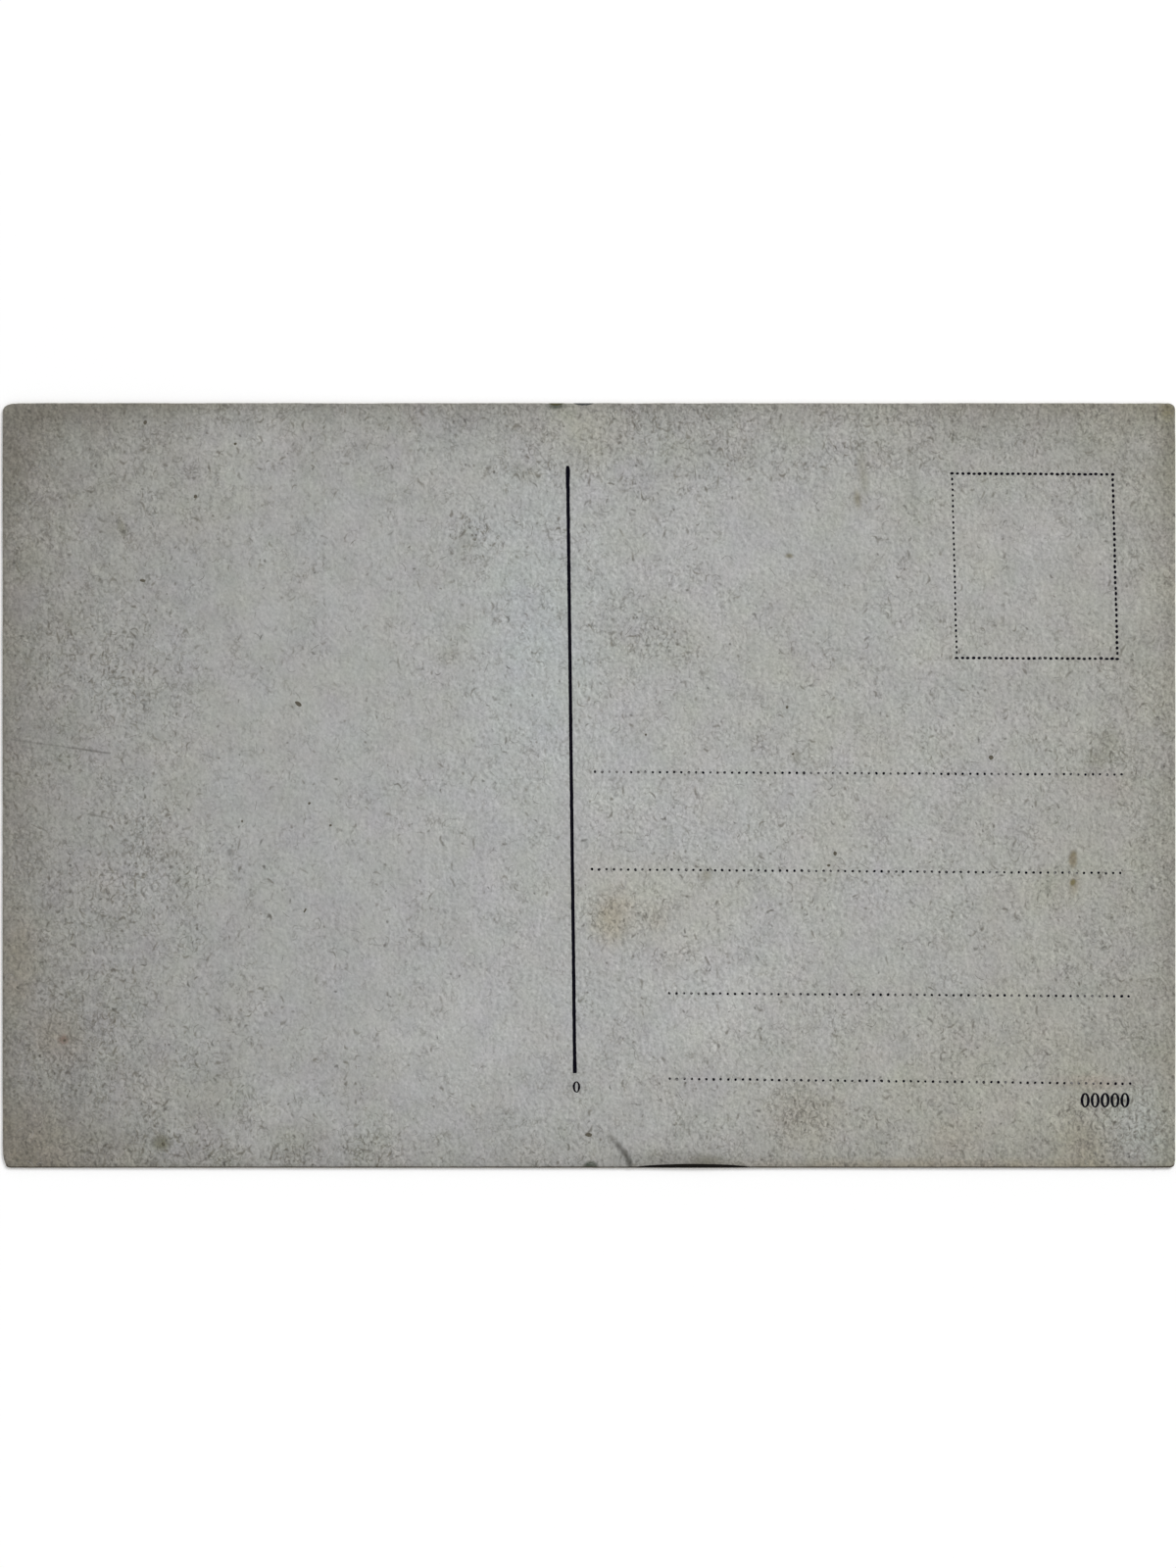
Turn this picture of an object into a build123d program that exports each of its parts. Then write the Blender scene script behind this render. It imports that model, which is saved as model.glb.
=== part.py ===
"""Old picture postcard with a divided back, built up from pasted paper plies and printed on both sides.

Millimetres. The card lies flat with its address side up: X along its length, to the right as the address is
read, Y towards its top edge, Z out of the address side. The origin is the centre of the underside.
"""

from build123d import *
import os
from math import cos, radians

# Card
CARD_LENGTH = 138.0
CARD_HEIGHT = 90.0

# Thickness of each layer
PRINT_FILM = 0.02
PICTURE_LINER = 0.08
PASTE_COAT = 0.02
CORE_BOARD = 0.20
ADDRESS_LINER = 0.06
INK_FILM = 0.02

# Wear of each corner, along the length and along the height
TOP_LEFT_WEAR_X = 1.8
TOP_LEFT_WEAR_Y = 0.7
TOP_RIGHT_WEAR_X = 0.9
TOP_RIGHT_WEAR_Y = 0.5
BOTTOM_LEFT_WEAR_X = 0.6
BOTTOM_LEFT_WEAR_Y = 2.4
BOTTOM_RIGHT_WEAR_X = 0.5
BOTTOM_RIGHT_WEAR_Y = 0.5

# Hollows worn into the long edges: middle from the left edge, width and depth
SMALL_NICK_LEFT = 65.1
SMALL_NICK_WIDTH = 1.5
SMALL_NICK_DEPTH = 0.30
WIDE_NICK_LEFT = 68.4
WIDE_NICK_WIDTH = 2.2
WIDE_NICK_DEPTH = 0.28
LOWER_HOLLOW_LEFT = 81.3
LOWER_HOLLOW_WIDTH = 12.6
LOWER_HOLLOW_DEPTH = 0.22

# Picture, printed inside a plain border
PICTURE_SIDE_BORDER = 4.5
PICTURE_TOP_BORDER = 4.0
PICTURE_BOTTOM_BORDER = 5.0

# Divider between message and address: upper end from the left and top edges, lower end from the bottom
# edge, lean in degrees
DIVIDER_LEFT = 66.5
DIVIDER_TOP = 7.4
DIVIDER_BOTTOM = 11.15
DIVIDER_WIDTH = 0.40
DIVIDER_LEAN = 0.67

# Stamp frame: upper right corner from the right and top edges, fall and lean in degrees, dashes of each row
STAMP_RIGHT = 7.4
STAMP_TOP = 8.4
STAMP_WIDTH = 18.9
STAMP_HEIGHT = 21.7
STAMP_FALL = 0.3
STAMP_LEAN = 1.5
DASH_PITCH = 0.647
DASH_LENGTH = 0.42
DASH_WIDTH = 0.27

# Address rules: left end from the left and top edges, right end from the right edge, and the fall to the
# right in degrees
RULE_1_LEFT = 69.7
RULE_1_TOP = 43.4
RULE_1_RIGHT = 6.35
RULE_1_FALL = 0.30
RULE_2_LEFT = 69.35
RULE_2_TOP = 54.85
RULE_2_RIGHT = 6.5
RULE_2_FALL = 0.43
RULE_3_LEFT = 78.45
RULE_3_TOP = 69.45
RULE_3_RIGHT = 5.5
RULE_3_FALL = 0.37
RULE_4_LEFT = 78.5
RULE_4_TOP = 79.5
RULE_4_RIGHT = 5.35
RULE_4_FALL = 0.62
DOT_PITCH = 0.853
DOT_WIDTH = 0.34
DOT_SIDES = 8

# Where the edges lie, and the height of each layer's underside
LEFT_EDGE = -CARD_LENGTH / 2
RIGHT_EDGE = CARD_LENGTH / 2
TOP_EDGE = CARD_HEIGHT / 2
BOTTOM_EDGE = -CARD_HEIGHT / 2
PICTURE_LINER_BASE = PRINT_FILM
PICTURE_PASTE_BASE = PICTURE_LINER_BASE + PICTURE_LINER
CORE_BASE = PICTURE_PASTE_BASE + PASTE_COAT
ADDRESS_PASTE_BASE = CORE_BASE + CORE_BOARD
ADDRESS_LINER_BASE = ADDRESS_PASTE_BASE + PASTE_COAT
ADDRESS_FACE = ADDRESS_LINER_BASE + ADDRESS_LINER


def card_face(height):
    """Worn outline of the card at a height: straight edges, quarter-ellipse corners and worn hollows."""
    corner_wear = (
        (RIGHT_EDGE, TOP_EDGE, -TOP_RIGHT_WEAR_X, -TOP_RIGHT_WEAR_Y),
        (LEFT_EDGE, TOP_EDGE, TOP_LEFT_WEAR_X, -TOP_LEFT_WEAR_Y),
        (LEFT_EDGE, BOTTOM_EDGE, BOTTOM_LEFT_WEAR_X, BOTTOM_LEFT_WEAR_Y),
        (RIGHT_EDGE, BOTTOM_EDGE, -BOTTOM_RIGHT_WEAR_X, BOTTOM_RIGHT_WEAR_Y),
    )
    edge_wear = (
        (SMALL_NICK_LEFT, TOP_EDGE, SMALL_NICK_WIDTH, SMALL_NICK_DEPTH),
        (WIDE_NICK_LEFT, TOP_EDGE, WIDE_NICK_WIDTH, WIDE_NICK_DEPTH),
        (LOWER_HOLLOW_LEFT, BOTTOM_EDGE, LOWER_HOLLOW_WIDTH, LOWER_HOLLOW_DEPTH),
    )
    with BuildSketch(Plane.XY.offset(height)) as face:
        with BuildLine():
            corners = [
                EllipticalCenterArc((x + in_x, y + in_y), abs(in_x), abs(in_y), 90 * quarter, arc_size=90)
                for quarter, (x, y, in_x, in_y) in enumerate(corner_wear)
            ]
            for corner, next_corner in zip(corners, corners[1:] + corners[:1]):
                Line(corner @ 1, next_corner @ 0)
        make_face()
        for from_left, edge, width, depth in edge_wear:
            with Locations((LEFT_EDGE + from_left, edge)):
                Ellipse(width / 2, depth, mode=Mode.SUBTRACT)
    return face.sketch


def print_plane(from_left, from_top, turn):
    """Plane on the address face, placed from the card's left and top edges and turned in the face."""
    origin = (LEFT_EDGE + from_left, TOP_EDGE - from_top, ADDRESS_FACE)
    return Plane(origin, x_dir=Vector(1, 0, 0).rotate(Axis.Z, turn), z_dir=(0, 0, 1))


def finish(piece, name):
    """Label a finished piece and write it to its own file."""
    piece.part.label = name
    export_step(piece.part, f"parts/{name}.step")


os.makedirs("parts", exist_ok=True)

# Picture side: the print is the lowest layer, and the card lies on it
with BuildPart() as picture_print:
    with BuildSketch():
        with Locations((0, (PICTURE_BOTTOM_BORDER - PICTURE_TOP_BORDER) / 2)):
            Rectangle(
                CARD_LENGTH - 2 * PICTURE_SIDE_BORDER,
                CARD_HEIGHT - PICTURE_TOP_BORDER - PICTURE_BOTTOM_BORDER,
            )
    extrude(amount=PRINT_FILM)
finish(picture_print, "picture_print")

# Plies of the card, from the picture side to the address side
with BuildPart() as picture_liner:
    extrude(card_face(PICTURE_LINER_BASE), amount=PICTURE_LINER)
finish(picture_liner, "picture_liner")

with BuildPart() as picture_paste:
    extrude(card_face(PICTURE_PASTE_BASE), amount=PASTE_COAT)
finish(picture_paste, "picture_paste")

with BuildPart() as core_board:
    extrude(card_face(CORE_BASE), amount=CORE_BOARD)
finish(core_board, "core_board")

with BuildPart() as address_paste:
    extrude(card_face(ADDRESS_PASTE_BASE), amount=PASTE_COAT)
finish(address_paste, "address_paste")

with BuildPart() as address_liner:
    extrude(card_face(ADDRESS_LINER_BASE), amount=ADDRESS_LINER)
finish(address_liner, "address_liner")

# Divider rule, laid down the card from its upper end
with BuildPart() as divider_rule:
    divider_length = (CARD_HEIGHT - DIVIDER_TOP - DIVIDER_BOTTOM) / cos(radians(DIVIDER_LEAN))
    with BuildSketch(print_plane(DIVIDER_LEFT, DIVIDER_TOP, DIVIDER_LEAN - 90)):
        Rectangle(divider_length, DIVIDER_WIDTH, align=(Align.MIN, Align.CENTER))
    extrude(amount=INK_FILM)
finish(divider_rule, "divider_rule")

# Stamp frame: four rows of dashes. The upper and lower rows hold the corner dashes, so the side rows start
# one step down and stop one step short.
stamp_corner = Vector(RIGHT_EDGE - STAMP_RIGHT, TOP_EDGE - STAMP_TOP, ADDRESS_FACE)
across = Vector(1, 0, 0).rotate(Axis.Z, -STAMP_FALL) * STAMP_WIDTH
down = Vector(0, -1, 0).rotate(Axis.Z, STAMP_LEAN) * STAMP_HEIGHT
dashes_across = round(STAMP_WIDTH / DASH_PITCH)
dashes_down = round(STAMP_HEIGHT / DASH_PITCH)
step_across = STAMP_WIDTH / dashes_across
step_down = STAMP_HEIGHT / dashes_down
with BuildPart() as stamp_frame:
    for shift in (Vector(0, 0, 0), down):
        with BuildSketch(Plane(stamp_corner + shift, x_dir=-across, z_dir=(0, 0, 1))):
            with GridLocations(step_across, 0, dashes_across + 1, 1, align=(Align.MIN, Align.CENTER)):
                Rectangle(DASH_LENGTH, DASH_WIDTH)
    for shift in (down / dashes_down, down / dashes_down - across):
        with BuildSketch(Plane(stamp_corner + shift, x_dir=down, z_dir=(0, 0, 1))):
            with GridLocations(step_down, 0, dashes_down - 1, 1, align=(Align.MIN, Align.CENTER)):
                Rectangle(DASH_LENGTH, DASH_WIDTH)
    extrude(amount=INK_FILM)
finish(stamp_frame, "stamp_frame")

# Address rules: rows of dots, each with its own ends and its own small fall
address_rules = (
    (RULE_1_LEFT, RULE_1_TOP, RULE_1_RIGHT, RULE_1_FALL),
    (RULE_2_LEFT, RULE_2_TOP, RULE_2_RIGHT, RULE_2_FALL),
    (RULE_3_LEFT, RULE_3_TOP, RULE_3_RIGHT, RULE_3_FALL),
    (RULE_4_LEFT, RULE_4_TOP, RULE_4_RIGHT, RULE_4_FALL),
)
for number, (from_left, from_top, from_right, fall) in enumerate(address_rules, start=1):
    rule_length = (CARD_LENGTH - from_left - from_right) / cos(radians(fall))
    gaps = round(rule_length / DOT_PITCH)
    with BuildPart() as address_rule:
        with BuildSketch(print_plane(from_left, from_top, -fall)):
            with GridLocations(rule_length / gaps, 0, gaps + 1, 1, align=(Align.MIN, Align.CENTER)):
                RegularPolygon(DOT_WIDTH / 2, DOT_SIDES)
        extrude(amount=INK_FILM)
    finish(address_rule, f"address_rule_{number}")
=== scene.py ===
"""Old picture postcard, address side up: the looks of its paper plies, its print and a plain stage.

Lengths are in millimetres until a mesh is made, and in metres from there on. X runs along the card, Y to
its top edge and Z out of the address side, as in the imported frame.
"""

import math

import bpy
import numpy as np
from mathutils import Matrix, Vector, noise
from mathutils.geometry import delaunay_2d_cdt


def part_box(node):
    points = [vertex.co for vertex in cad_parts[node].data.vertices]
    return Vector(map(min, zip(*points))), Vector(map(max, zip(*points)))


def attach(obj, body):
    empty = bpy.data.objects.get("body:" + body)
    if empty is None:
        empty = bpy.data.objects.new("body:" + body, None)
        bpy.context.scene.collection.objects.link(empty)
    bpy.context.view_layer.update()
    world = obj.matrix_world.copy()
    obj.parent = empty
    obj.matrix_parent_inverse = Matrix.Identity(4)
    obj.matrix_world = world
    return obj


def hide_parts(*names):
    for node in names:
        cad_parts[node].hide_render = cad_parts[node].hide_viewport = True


bl_info = {
    "name": "Old Picture Postcard",
    "version": (1, 0, 0),
    "blender": (4, 5, 0),
    "location": "View3D > Sidebar > Postcard",
    "description": "Paper plies, printed rules and picture side of an old postcard, on a plain stage",
    "category": "Object",
}

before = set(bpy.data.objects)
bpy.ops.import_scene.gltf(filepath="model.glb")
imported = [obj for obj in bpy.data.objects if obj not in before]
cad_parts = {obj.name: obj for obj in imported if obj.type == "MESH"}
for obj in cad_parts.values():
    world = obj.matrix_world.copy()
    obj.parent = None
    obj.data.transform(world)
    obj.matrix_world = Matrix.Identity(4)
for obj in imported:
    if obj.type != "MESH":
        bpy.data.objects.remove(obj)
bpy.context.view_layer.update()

MM = 0.001
MICRONS_IN_MM = 1000
BODY = "root"
BAKE_MAP = "OFBake"
INK_MATERIAL = "blue_black_ink"


def srgb(red, green, blue):
    """Linear colour of an 8-bit screen colour."""
    shares = (level / 255 for level in (red, green, blue))
    return tuple(share / 12.92 if share <= 0.04045 else ((share + 0.055) / 1.055) ** 2.4 for share in shares)


def span(node):
    """Lowest and highest corner of a CAD node, in millimetres."""
    low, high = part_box(node)
    return np.array(low) / MM, np.array(high) / MM


CARD_LOW, CARD_HIGH = span("address_liner")
LEFT, BOTTOM, _ = CARD_LOW
RIGHT, TOP, ADDRESS_FACE = CARD_HIGH
HALF_LENGTH = (RIGHT - LEFT) / 2
HALF_HEIGHT = (TOP - BOTTOM) / 2

# Edges of the plies
EDGE_STEP = 0.2
EDGE_SMOOTHING = 3
RIM = 0.35
LIP = 0.03
FACE_STEP = 0.8
HIDDEN_STEP = 4.0
FACE_MARGIN = 1.1

# Wear of an edge: shares of the fine and slow noise, the bites and the corners, and reach of a corner. Then
# how near an edge its worn stretches and its bottom count, and the share of the wear that lower plies have
# there.
FINE_FRAY = 0.7
SLOW_FRAY = 0.8
BITE_FRAY = 1.5
CORNER_FRAY = 1.2
CORNER_REACH = 3.0
STRETCH_REACH = 1.0
BOTTOM_REACH = 0.6
UNDER_REACH = 0.3
UNDER_SHARE = 0.3

# Areas of the bake map for the edge of a sheet, the face that shows and the hidden face: left, bottom, width
# and height
EDGE_AREA = (0.01, 0.005, 0.98, 0.025)
SHOWN_AREA = (0.01, 0.08, 0.98, 0.91)
HIDDEN_AREA = (0.01, 0.04, 0.05, 0.03)

# Relief of the whole card: a faint cockle, one lifted stretch of the lower edge and the crease beside it
COCKLE = 0.03
COCKLE_WIDTH = 34.0
TOOTH = 0.006
TOOTH_WIDTH = 1.7
LIFT = 0.12
LIFT_FROM_LEFT = 81.3
LIFT_HALF_WIDTH = 5.5
LIFT_REACH = 5.0
CREASE = 0.05
CREASE_WIDTH = 0.35
CREASE_POINTS = ((71.4, 86.3), (72.4, 87.3), (73.2, 88.2), (73.7, 89.2), (73.9, 90.2))

# How far the address paper is set back along the bottom edge, so that the painted shade on the plies under it
# shows there, and the hollow in it
BOTTOM_SETBACK = 0.13
HOLLOW_DEPTH = 0.13
HOLLOW_FROM_LEFT = LIFT_FROM_LEFT
HOLLOW_HALF_WIDTH = 6.6

# Stretches where only the address paper has worn away and the plies under it show: from the left edge, the
# edge, half width and colour of the plies there: olive grime at the first, painted shade in the second nick
# and a near-black painted shadow under the lifted stretch at the hollow
WORN_STRETCHES = (
    (65.1, TOP, 1.0, srgb(70, 70, 52)),
    (68.4, TOP, 1.3, srgb(62, 66, 68)),
    (HOLLOW_FROM_LEFT, BOTTOM, HOLLOW_HALF_WIDTH, srgb(8, 7, 7)),
)

# Each ply: CAD node, slot of its finish, seed of its wear, set-back of its edge and the side that shows
PLIES = (
    ("picture_liner", "coated_paper", 11, 0.02, "lower"),
    ("picture_paste", "paste", 23, 0.07, "lower"),
    ("core_board", "pulp_board", 37, 0.03, "lower"),
    ("address_paste", "paste", 41, 0.07, "lower"),
    ("address_liner", "pulp_paper", 5, 0.0, "upper"),
)

# Toning of the address paper along each edge: reach and strength of the wide tone, then of the rim
TONING = {
    "left": (26.0, 0.62, 2.0, 0.15),
    "right": (24.0, 0.46, 1.8, 0.24),
    "top": (11.0, 0.31, 1.5, 0.32),
    "bottom": (14.0, 0.20, 1.8, 0.22),
}

# The same for the coated paper, all round
COATING_TONING = (9.0, 0.30, 1.5, 0.45)

# How far in the borders of the toning start to get cloudy, and the most that any paper is toned
CLEAR_RIM = 6.0
MOST_TONED = 0.92

# Places from the left edge: the paper yellows from the first one to the right edge, and the painted light and
# shade of its felted surface gets stronger between the other two
YELLOW_START = 70.0
CRISP_START = 30.0
CRISP_END = 75.0

# Patches where the fibres crowd or, below zero, thin out: from the left and top edges, half sizes, turn in
# degrees and how much they crowd
PATCHES = (
    (36.0, 28.0, 13.0, 22.0, 0, -0.16),
    (36.0, 58.0, 10.0, 10.0, 0, -0.06),
    (94.0, 15.0, 8.0, 7.0, 0, -0.28),
    (122.0, 20.0, 8.0, 9.0, 0, -0.24),
    (54.0, 75.0, 9.0, 9.0, 0, -0.18),
    (134.0, 22.0, 4.0, 10.0, 0, -0.14),
    (75.0, 26.6, 4.4, 3.8, 20, 0.30),
    (79.2, 29.4, 1.6, 1.2, 30, 0.45),
    (89.0, 39.9, 1.2, 0.9, -35, 0.55),
    (55.6, 14.6, 2.6, 1.2, 20, 0.55),
    (54.4, 17.0, 1.6, 2.0, 0, 0.20),
    (60.9, 8.4, 4.2, 2.0, 5, 0.26),
    (52.5, 29.9, 1.6, 1.3, 0, 0.15),
    (62.5, 22.6, 3.6, 1.2, 15, 0.16),
    (130.2, 40.6, 2.2, 2.6, 20, 0.28),
    (79.0, 4.6, 13.0, 4.6, 0, 0.22),
    (93.0, 7.5, 2.4, 2.0, 0, 0.24),
    (102.0, 6.4, 5.0, 1.8, 10, 0.30),
    (10.0, 75.0, 9.0, 9.0, 0, 0.28),
    (23.0, 81.0, 10.0, 5.0, 0, 0.06),
    (12.0, 60.0, 8.0, 6.0, 0, 0.12),
    (93.9, 83.4, 3.4, 3.2, 0, 0.50),
    (131.0, 85.8, 5.2, 3.4, 0, 0.42),
    (10.5, 88.4, 5.0, 1.2, 0, 0.80),
    (18.9, 87.0, 3.0, 2.0, 0, 0.60),
    (25.5, 88.4, 2.6, 1.6, 0, 0.55),
    (34.0, 88.2, 3.2, 1.8, 0, 0.60),
    (44.0, 88.2, 3.0, 1.6, 0, 0.55),
    (73.2, 60.2, 4.6, 2.6, 0, 0.36),
    (18.0, 53.5, 7.0, 6.0, 20, 0.28),
    (14.0, 31.0, 8.0, 6.5, 40, 0.24),
    (14.1, 14.7, 0.7, 1.3, -15, 0.70),
)

# Layers of fibres in the pulp, two dark, one light and one of specks: shift of the lattice, its spacing, half
# length and half width of a fibre, the share of the lattice that holds one even where few crowd, and how wide
# a range of them is faint
FIBRE_LAYERS = (
    (0.0, 1.25, 0.37, 0.13, 0.20, 0.46),
    (9.3, 0.80, 0.23, 0.11, 0.10, 0.75),
    (4.1, 0.90, 0.30, 0.12, 0.22, 0.75),
    (6.7, 2.90, 0.20, 0.12, 0.10, 0.12),
)

# How many more fibres there are where they crowd
CROWDING = 0.72

# Curled fibres, dark ones and light ones: shift, fineness, and half width as a share of the noise
DARK_CURLS = ((7.0, 43.0, 0.0), 1.25, 0.060)
LIGHT_CURLS = ((71.0, 11.0, 0.0), 1.40, 0.060)

# Painted light and shade of the paper's felted surface, as if lit from one side: shift, fineness, step
# towards the light and strength of each layer
FELT_LAYERS = (
    ((0.0, 0.0, 0.0), 1.9, (0.19, 0.07, 0.0), 0.70),
    ((31.0, 17.0, 0.0), 2.5, (0.06, 0.16, 0.0), 0.55),
)

# Colours of the stains; the soot colour also paints the shade along the crease
BROWN = srgb(128, 115, 94)
TAN = srgb(140, 118, 84)
STRAW = srgb(158, 154, 126)
OLIVE = srgb(96, 94, 72)
DRIP = srgb(98, 90, 58)
SOOT_AND_CREASE_SHADE = srgb(92, 91, 86)
PINK = srgb(150, 136, 128)
COOL = srgb(166, 174, 173)
GREY = srgb(150, 151, 147)
RUST = srgb(112, 92, 82)
UMBER = srgb(102, 86, 52)
PALE = srgb(165, 165, 165)
BLEACHED = srgb(186, 186, 183)
MOSS = srgb(70, 75, 66)

# Stains: from the left and top edges, half sizes, turn in degrees, softness, colour and strength
STAINS = (
    (36.0, 36.0, 18.0, 30.0, 0, 0.9, GREY, 0.18),
    (122.0, 16.0, 9.0, 8.0, 0, 0.9, PALE, 0.32),
    (84.0, 71.0, 6.0, 7.0, 0, 0.9, BLEACHED, 0.26),
    (29.0, 4.0, 6.0, 4.0, 0, 0.9, BLEACHED, 0.20),
    (31.0, 84.0, 7.0, 4.0, 0, 0.9, BLEACHED, 0.22),
    (53.0, 75.0, 7.0, 6.0, 0, 0.9, BLEACHED, 0.18),
    (96.0, 21.0, 5.5, 4.5, 0, 0.9, GREY, 0.26),
    (51.0, 17.0, 5.5, 7.0, 0, 0.9, GREY, 0.18),
    (119.0, 4.0, 8.0, 3.5, 0, 0.9, SOOT_AND_CREASE_SHADE, 0.07),
    (110.0, 82.0, 27.0, 9.5, 0, 0.9, STRAW, 0.15),
    (2.5, 37.0, 5.0, 11.0, 0, 0.9, OLIVE, 0.07),
    (90.0, 34.0, 13.0, 9.0, 0, 0.9, GREY, 0.16),
    (88.0, 34.0, 13.0, 9.0, 0, 0.9, STRAW, 0.08),
    (62.8, 28.0, 6.5, 16.0, 4, 0.9, COOL, 0.36),
    (71.6, 60.6, 1.8, 2.4, 10, 0.9, TAN, 0.36),
    (76.8, 60.6, 1.4, 1.2, 0, 0.9, TAN, 0.13),
    (76.0, 59.6, 8.0, 5.0, 0, 0.9, STRAW, 0.20),
    (75.0, 26.6, 5.0, 4.2, 20, 0.9, OLIVE, 0.11),
    (101.2, 8.0, 0.50, 2.6, -6, 0.9, OLIVE, 0.36),
    (100.6, 11.3, 0.36, 0.95, -10, 0.9, DRIP, 0.48),
    (100.4, 11.4, 0.80, 0.9, 0, 0.9, DRIP, 0.12),
    (107.2, 8.6, 0.50, 3.4, -6, 0.9, SOOT_AND_CREASE_SHADE, 0.18),
    (92.6, 18.0, 0.40, 0.26, 0, 0.8, DRIP, 0.75),
    (125.95, 53.7, 0.46, 0.95, 4, 0.6, UMBER, 0.60),
    (126.0, 53.0, 0.30, 0.30, 0, 0.7, DRIP, 0.50),
    (126.1, 56.7, 0.52, 1.1, 10, 0.8, UMBER, 0.36),
    (125.9, 56.4, 0.32, 0.40, 30, 0.5, DRIP, 0.85),
    (122.0, 57.4, 4.0, 2.0, 0, 0.9, STRAW, 0.16),
    (82.8, 55.6, 0.55, 0.60, 0, 0.8, DRIP, 0.38),
    (93.4, 41.6, 0.55, 0.95, -20, 0.8, OLIVE, 0.34),
    (26.8, 52.9, 0.42, 0.42, 0, 0.8, SOOT_AND_CREASE_SHADE, 0.55),
    (130.2, 39.7, 1.2, 1.5, 0, 0.9, OLIVE, 0.26),
    (128.7, 42.0, 1.1, 0.9, 0, 0.9, OLIVE, 0.26),
    (61.8, 8.2, 1.5, 1.1, 10, 0.9, OLIVE, 0.24),
    (54.4, 16.4, 1.2, 1.8, 20, 0.9, OLIVE, 0.20),
    (52.5, 29.9, 1.2, 1.0, 0, 0.9, OLIVE, 0.22),
    (68.0, 3.6, 5.0, 3.0, 0, 0.9, STRAW, 0.22),
    (80.0, 6.0, 6.0, 3.0, 0, 0.9, OLIVE, 0.08),
    (14.1, 14.7, 0.45, 1.1, -15, 0.8, OLIVE, 0.45),
    (130.5, 45.0, 2.6, 1.8, 0, 0.9, PINK, 0.18),
    (129.0, 79.9, 4.0, 0.8, 2, 0.9, PINK, 0.40),
    (93.9, 83.4, 3.6, 3.2, 0, 0.9, BROWN, 0.24),
    (112.0, 86.6, 3.6, 2.0, 0, 0.9, PINK, 0.25),
    (128.0, 87.0, 3.4, 2.6, 0, 0.9, BROWN, 0.28),
    (133.6, 85.4, 3.6, 4.6, 0, 0.9, COOL, 0.32),
    (137.4, 6.5, 1.2, 5.0, 0, 0.9, OLIVE, 0.24),
    (108.0, 89.7, 22.0, 0.7, 0, 0.9, BROWN, 0.36),
    (4.5, 86.8, 5.5, 3.5, 20, 0.9, BROWN, 0.24),
    (6.8, 74.6, 3.0, 2.4, 30, 0.9, BROWN, 0.30),
    (7.2, 74.9, 0.55, 0.5, 0, 0.7, RUST, 0.70),
    (18.7, 87.0, 0.95, 0.85, 0, 0.8, OLIVE, 0.72),
    (25.0, 82.0, 3.0, 4.0, 20, 0.9, OLIVE, 0.14),
    (12.5, 86.0, 6.0, 1.8, 0, 0.9, SOOT_AND_CREASE_SHADE, 0.10),
    (35.0, 86.5, 3.2, 2.2, 0, 0.9, OLIVE, 0.16),
    (2.2, 66.0, 1.8, 5.0, 0, 0.9, BROWN, 0.30),
    (137.2, 0.8, 1.0, 1.0, 0, 0.8, DRIP, 0.55),
    (65.1, 0.35, 0.9, 0.4, 0, 0.5, MOSS, 0.80),
    (69.2, 89.95, 0.85, 0.72, 0, 0.3, MOSS, 0.90),
    (82.9, 89.2, 1.9, 0.65, 0, 0.8, OLIVE, 0.50),
    (79.0, 88.9, 4.6, 0.9, 0, 0.9, SOOT_AND_CREASE_SHADE, 0.30),
)

# Scratches: both ends from the left and top edges, half width and strength
SCRATCHES = (
    (1.0, 39.6, 8.3, 40.6, 0.20, 0.40),
    (8.3, 40.6, 12.6, 41.2, 0.24, 0.60),
    (10.1, 48.4, 12.9, 48.9, 0.20, 0.45),
    (10.2, 54.7, 17.7, 56.1, 0.22, 0.25),
)

# The painted shade along the crease is drawn as dark lines like the scratches: half width and strength of
# each stretch of it
CREASE_SHADES = ((0.55, 0.45), (0.58, 0.85), (0.55, 1.00), (0.52, 1.00))
CREASE_SHADE_LINES = tuple(
    (*start, *end, *shade) for start, end, shade in zip(CREASE_POINTS, CREASE_POINTS[1:], CREASE_SHADES)
)

# Stains with a half size up to this keep their outline, and larger ones get a ragged one
FINE_STAIN = 1.4

# Other colours of the address paper
SPECK = srgb(74, 72, 66)
YELLOWED = srgb(160, 158, 144)

# Colours of the plies under it, with the painted shade along their bottom edge
BOTTOM_EDGE_SHADE = srgb(40, 40, 43)
CORE_DARK = srgb(96, 90, 80)
CORE_LIGHT = srgb(150, 143, 128)
CORE_FIBRE = srgb(74, 66, 55)
CREAM = srgb(222, 214, 194)
CREAM_TONED = srgb(164, 146, 112)
PASTE_DARK = srgb(112, 96, 68)
PASTE_LIGHT = srgb(176, 158, 120)

# Colours of ink and splinters
INK_LIGHT = srgb(13, 13, 22)
INK_THIN = srgb(120, 119, 118)
PICTURE_MIDDLE = srgb(136, 108, 78)
SPLINTER_DARK = srgb(58, 56, 50)
SPLINTER_LIGHT = srgb(104, 99, 86)

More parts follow.
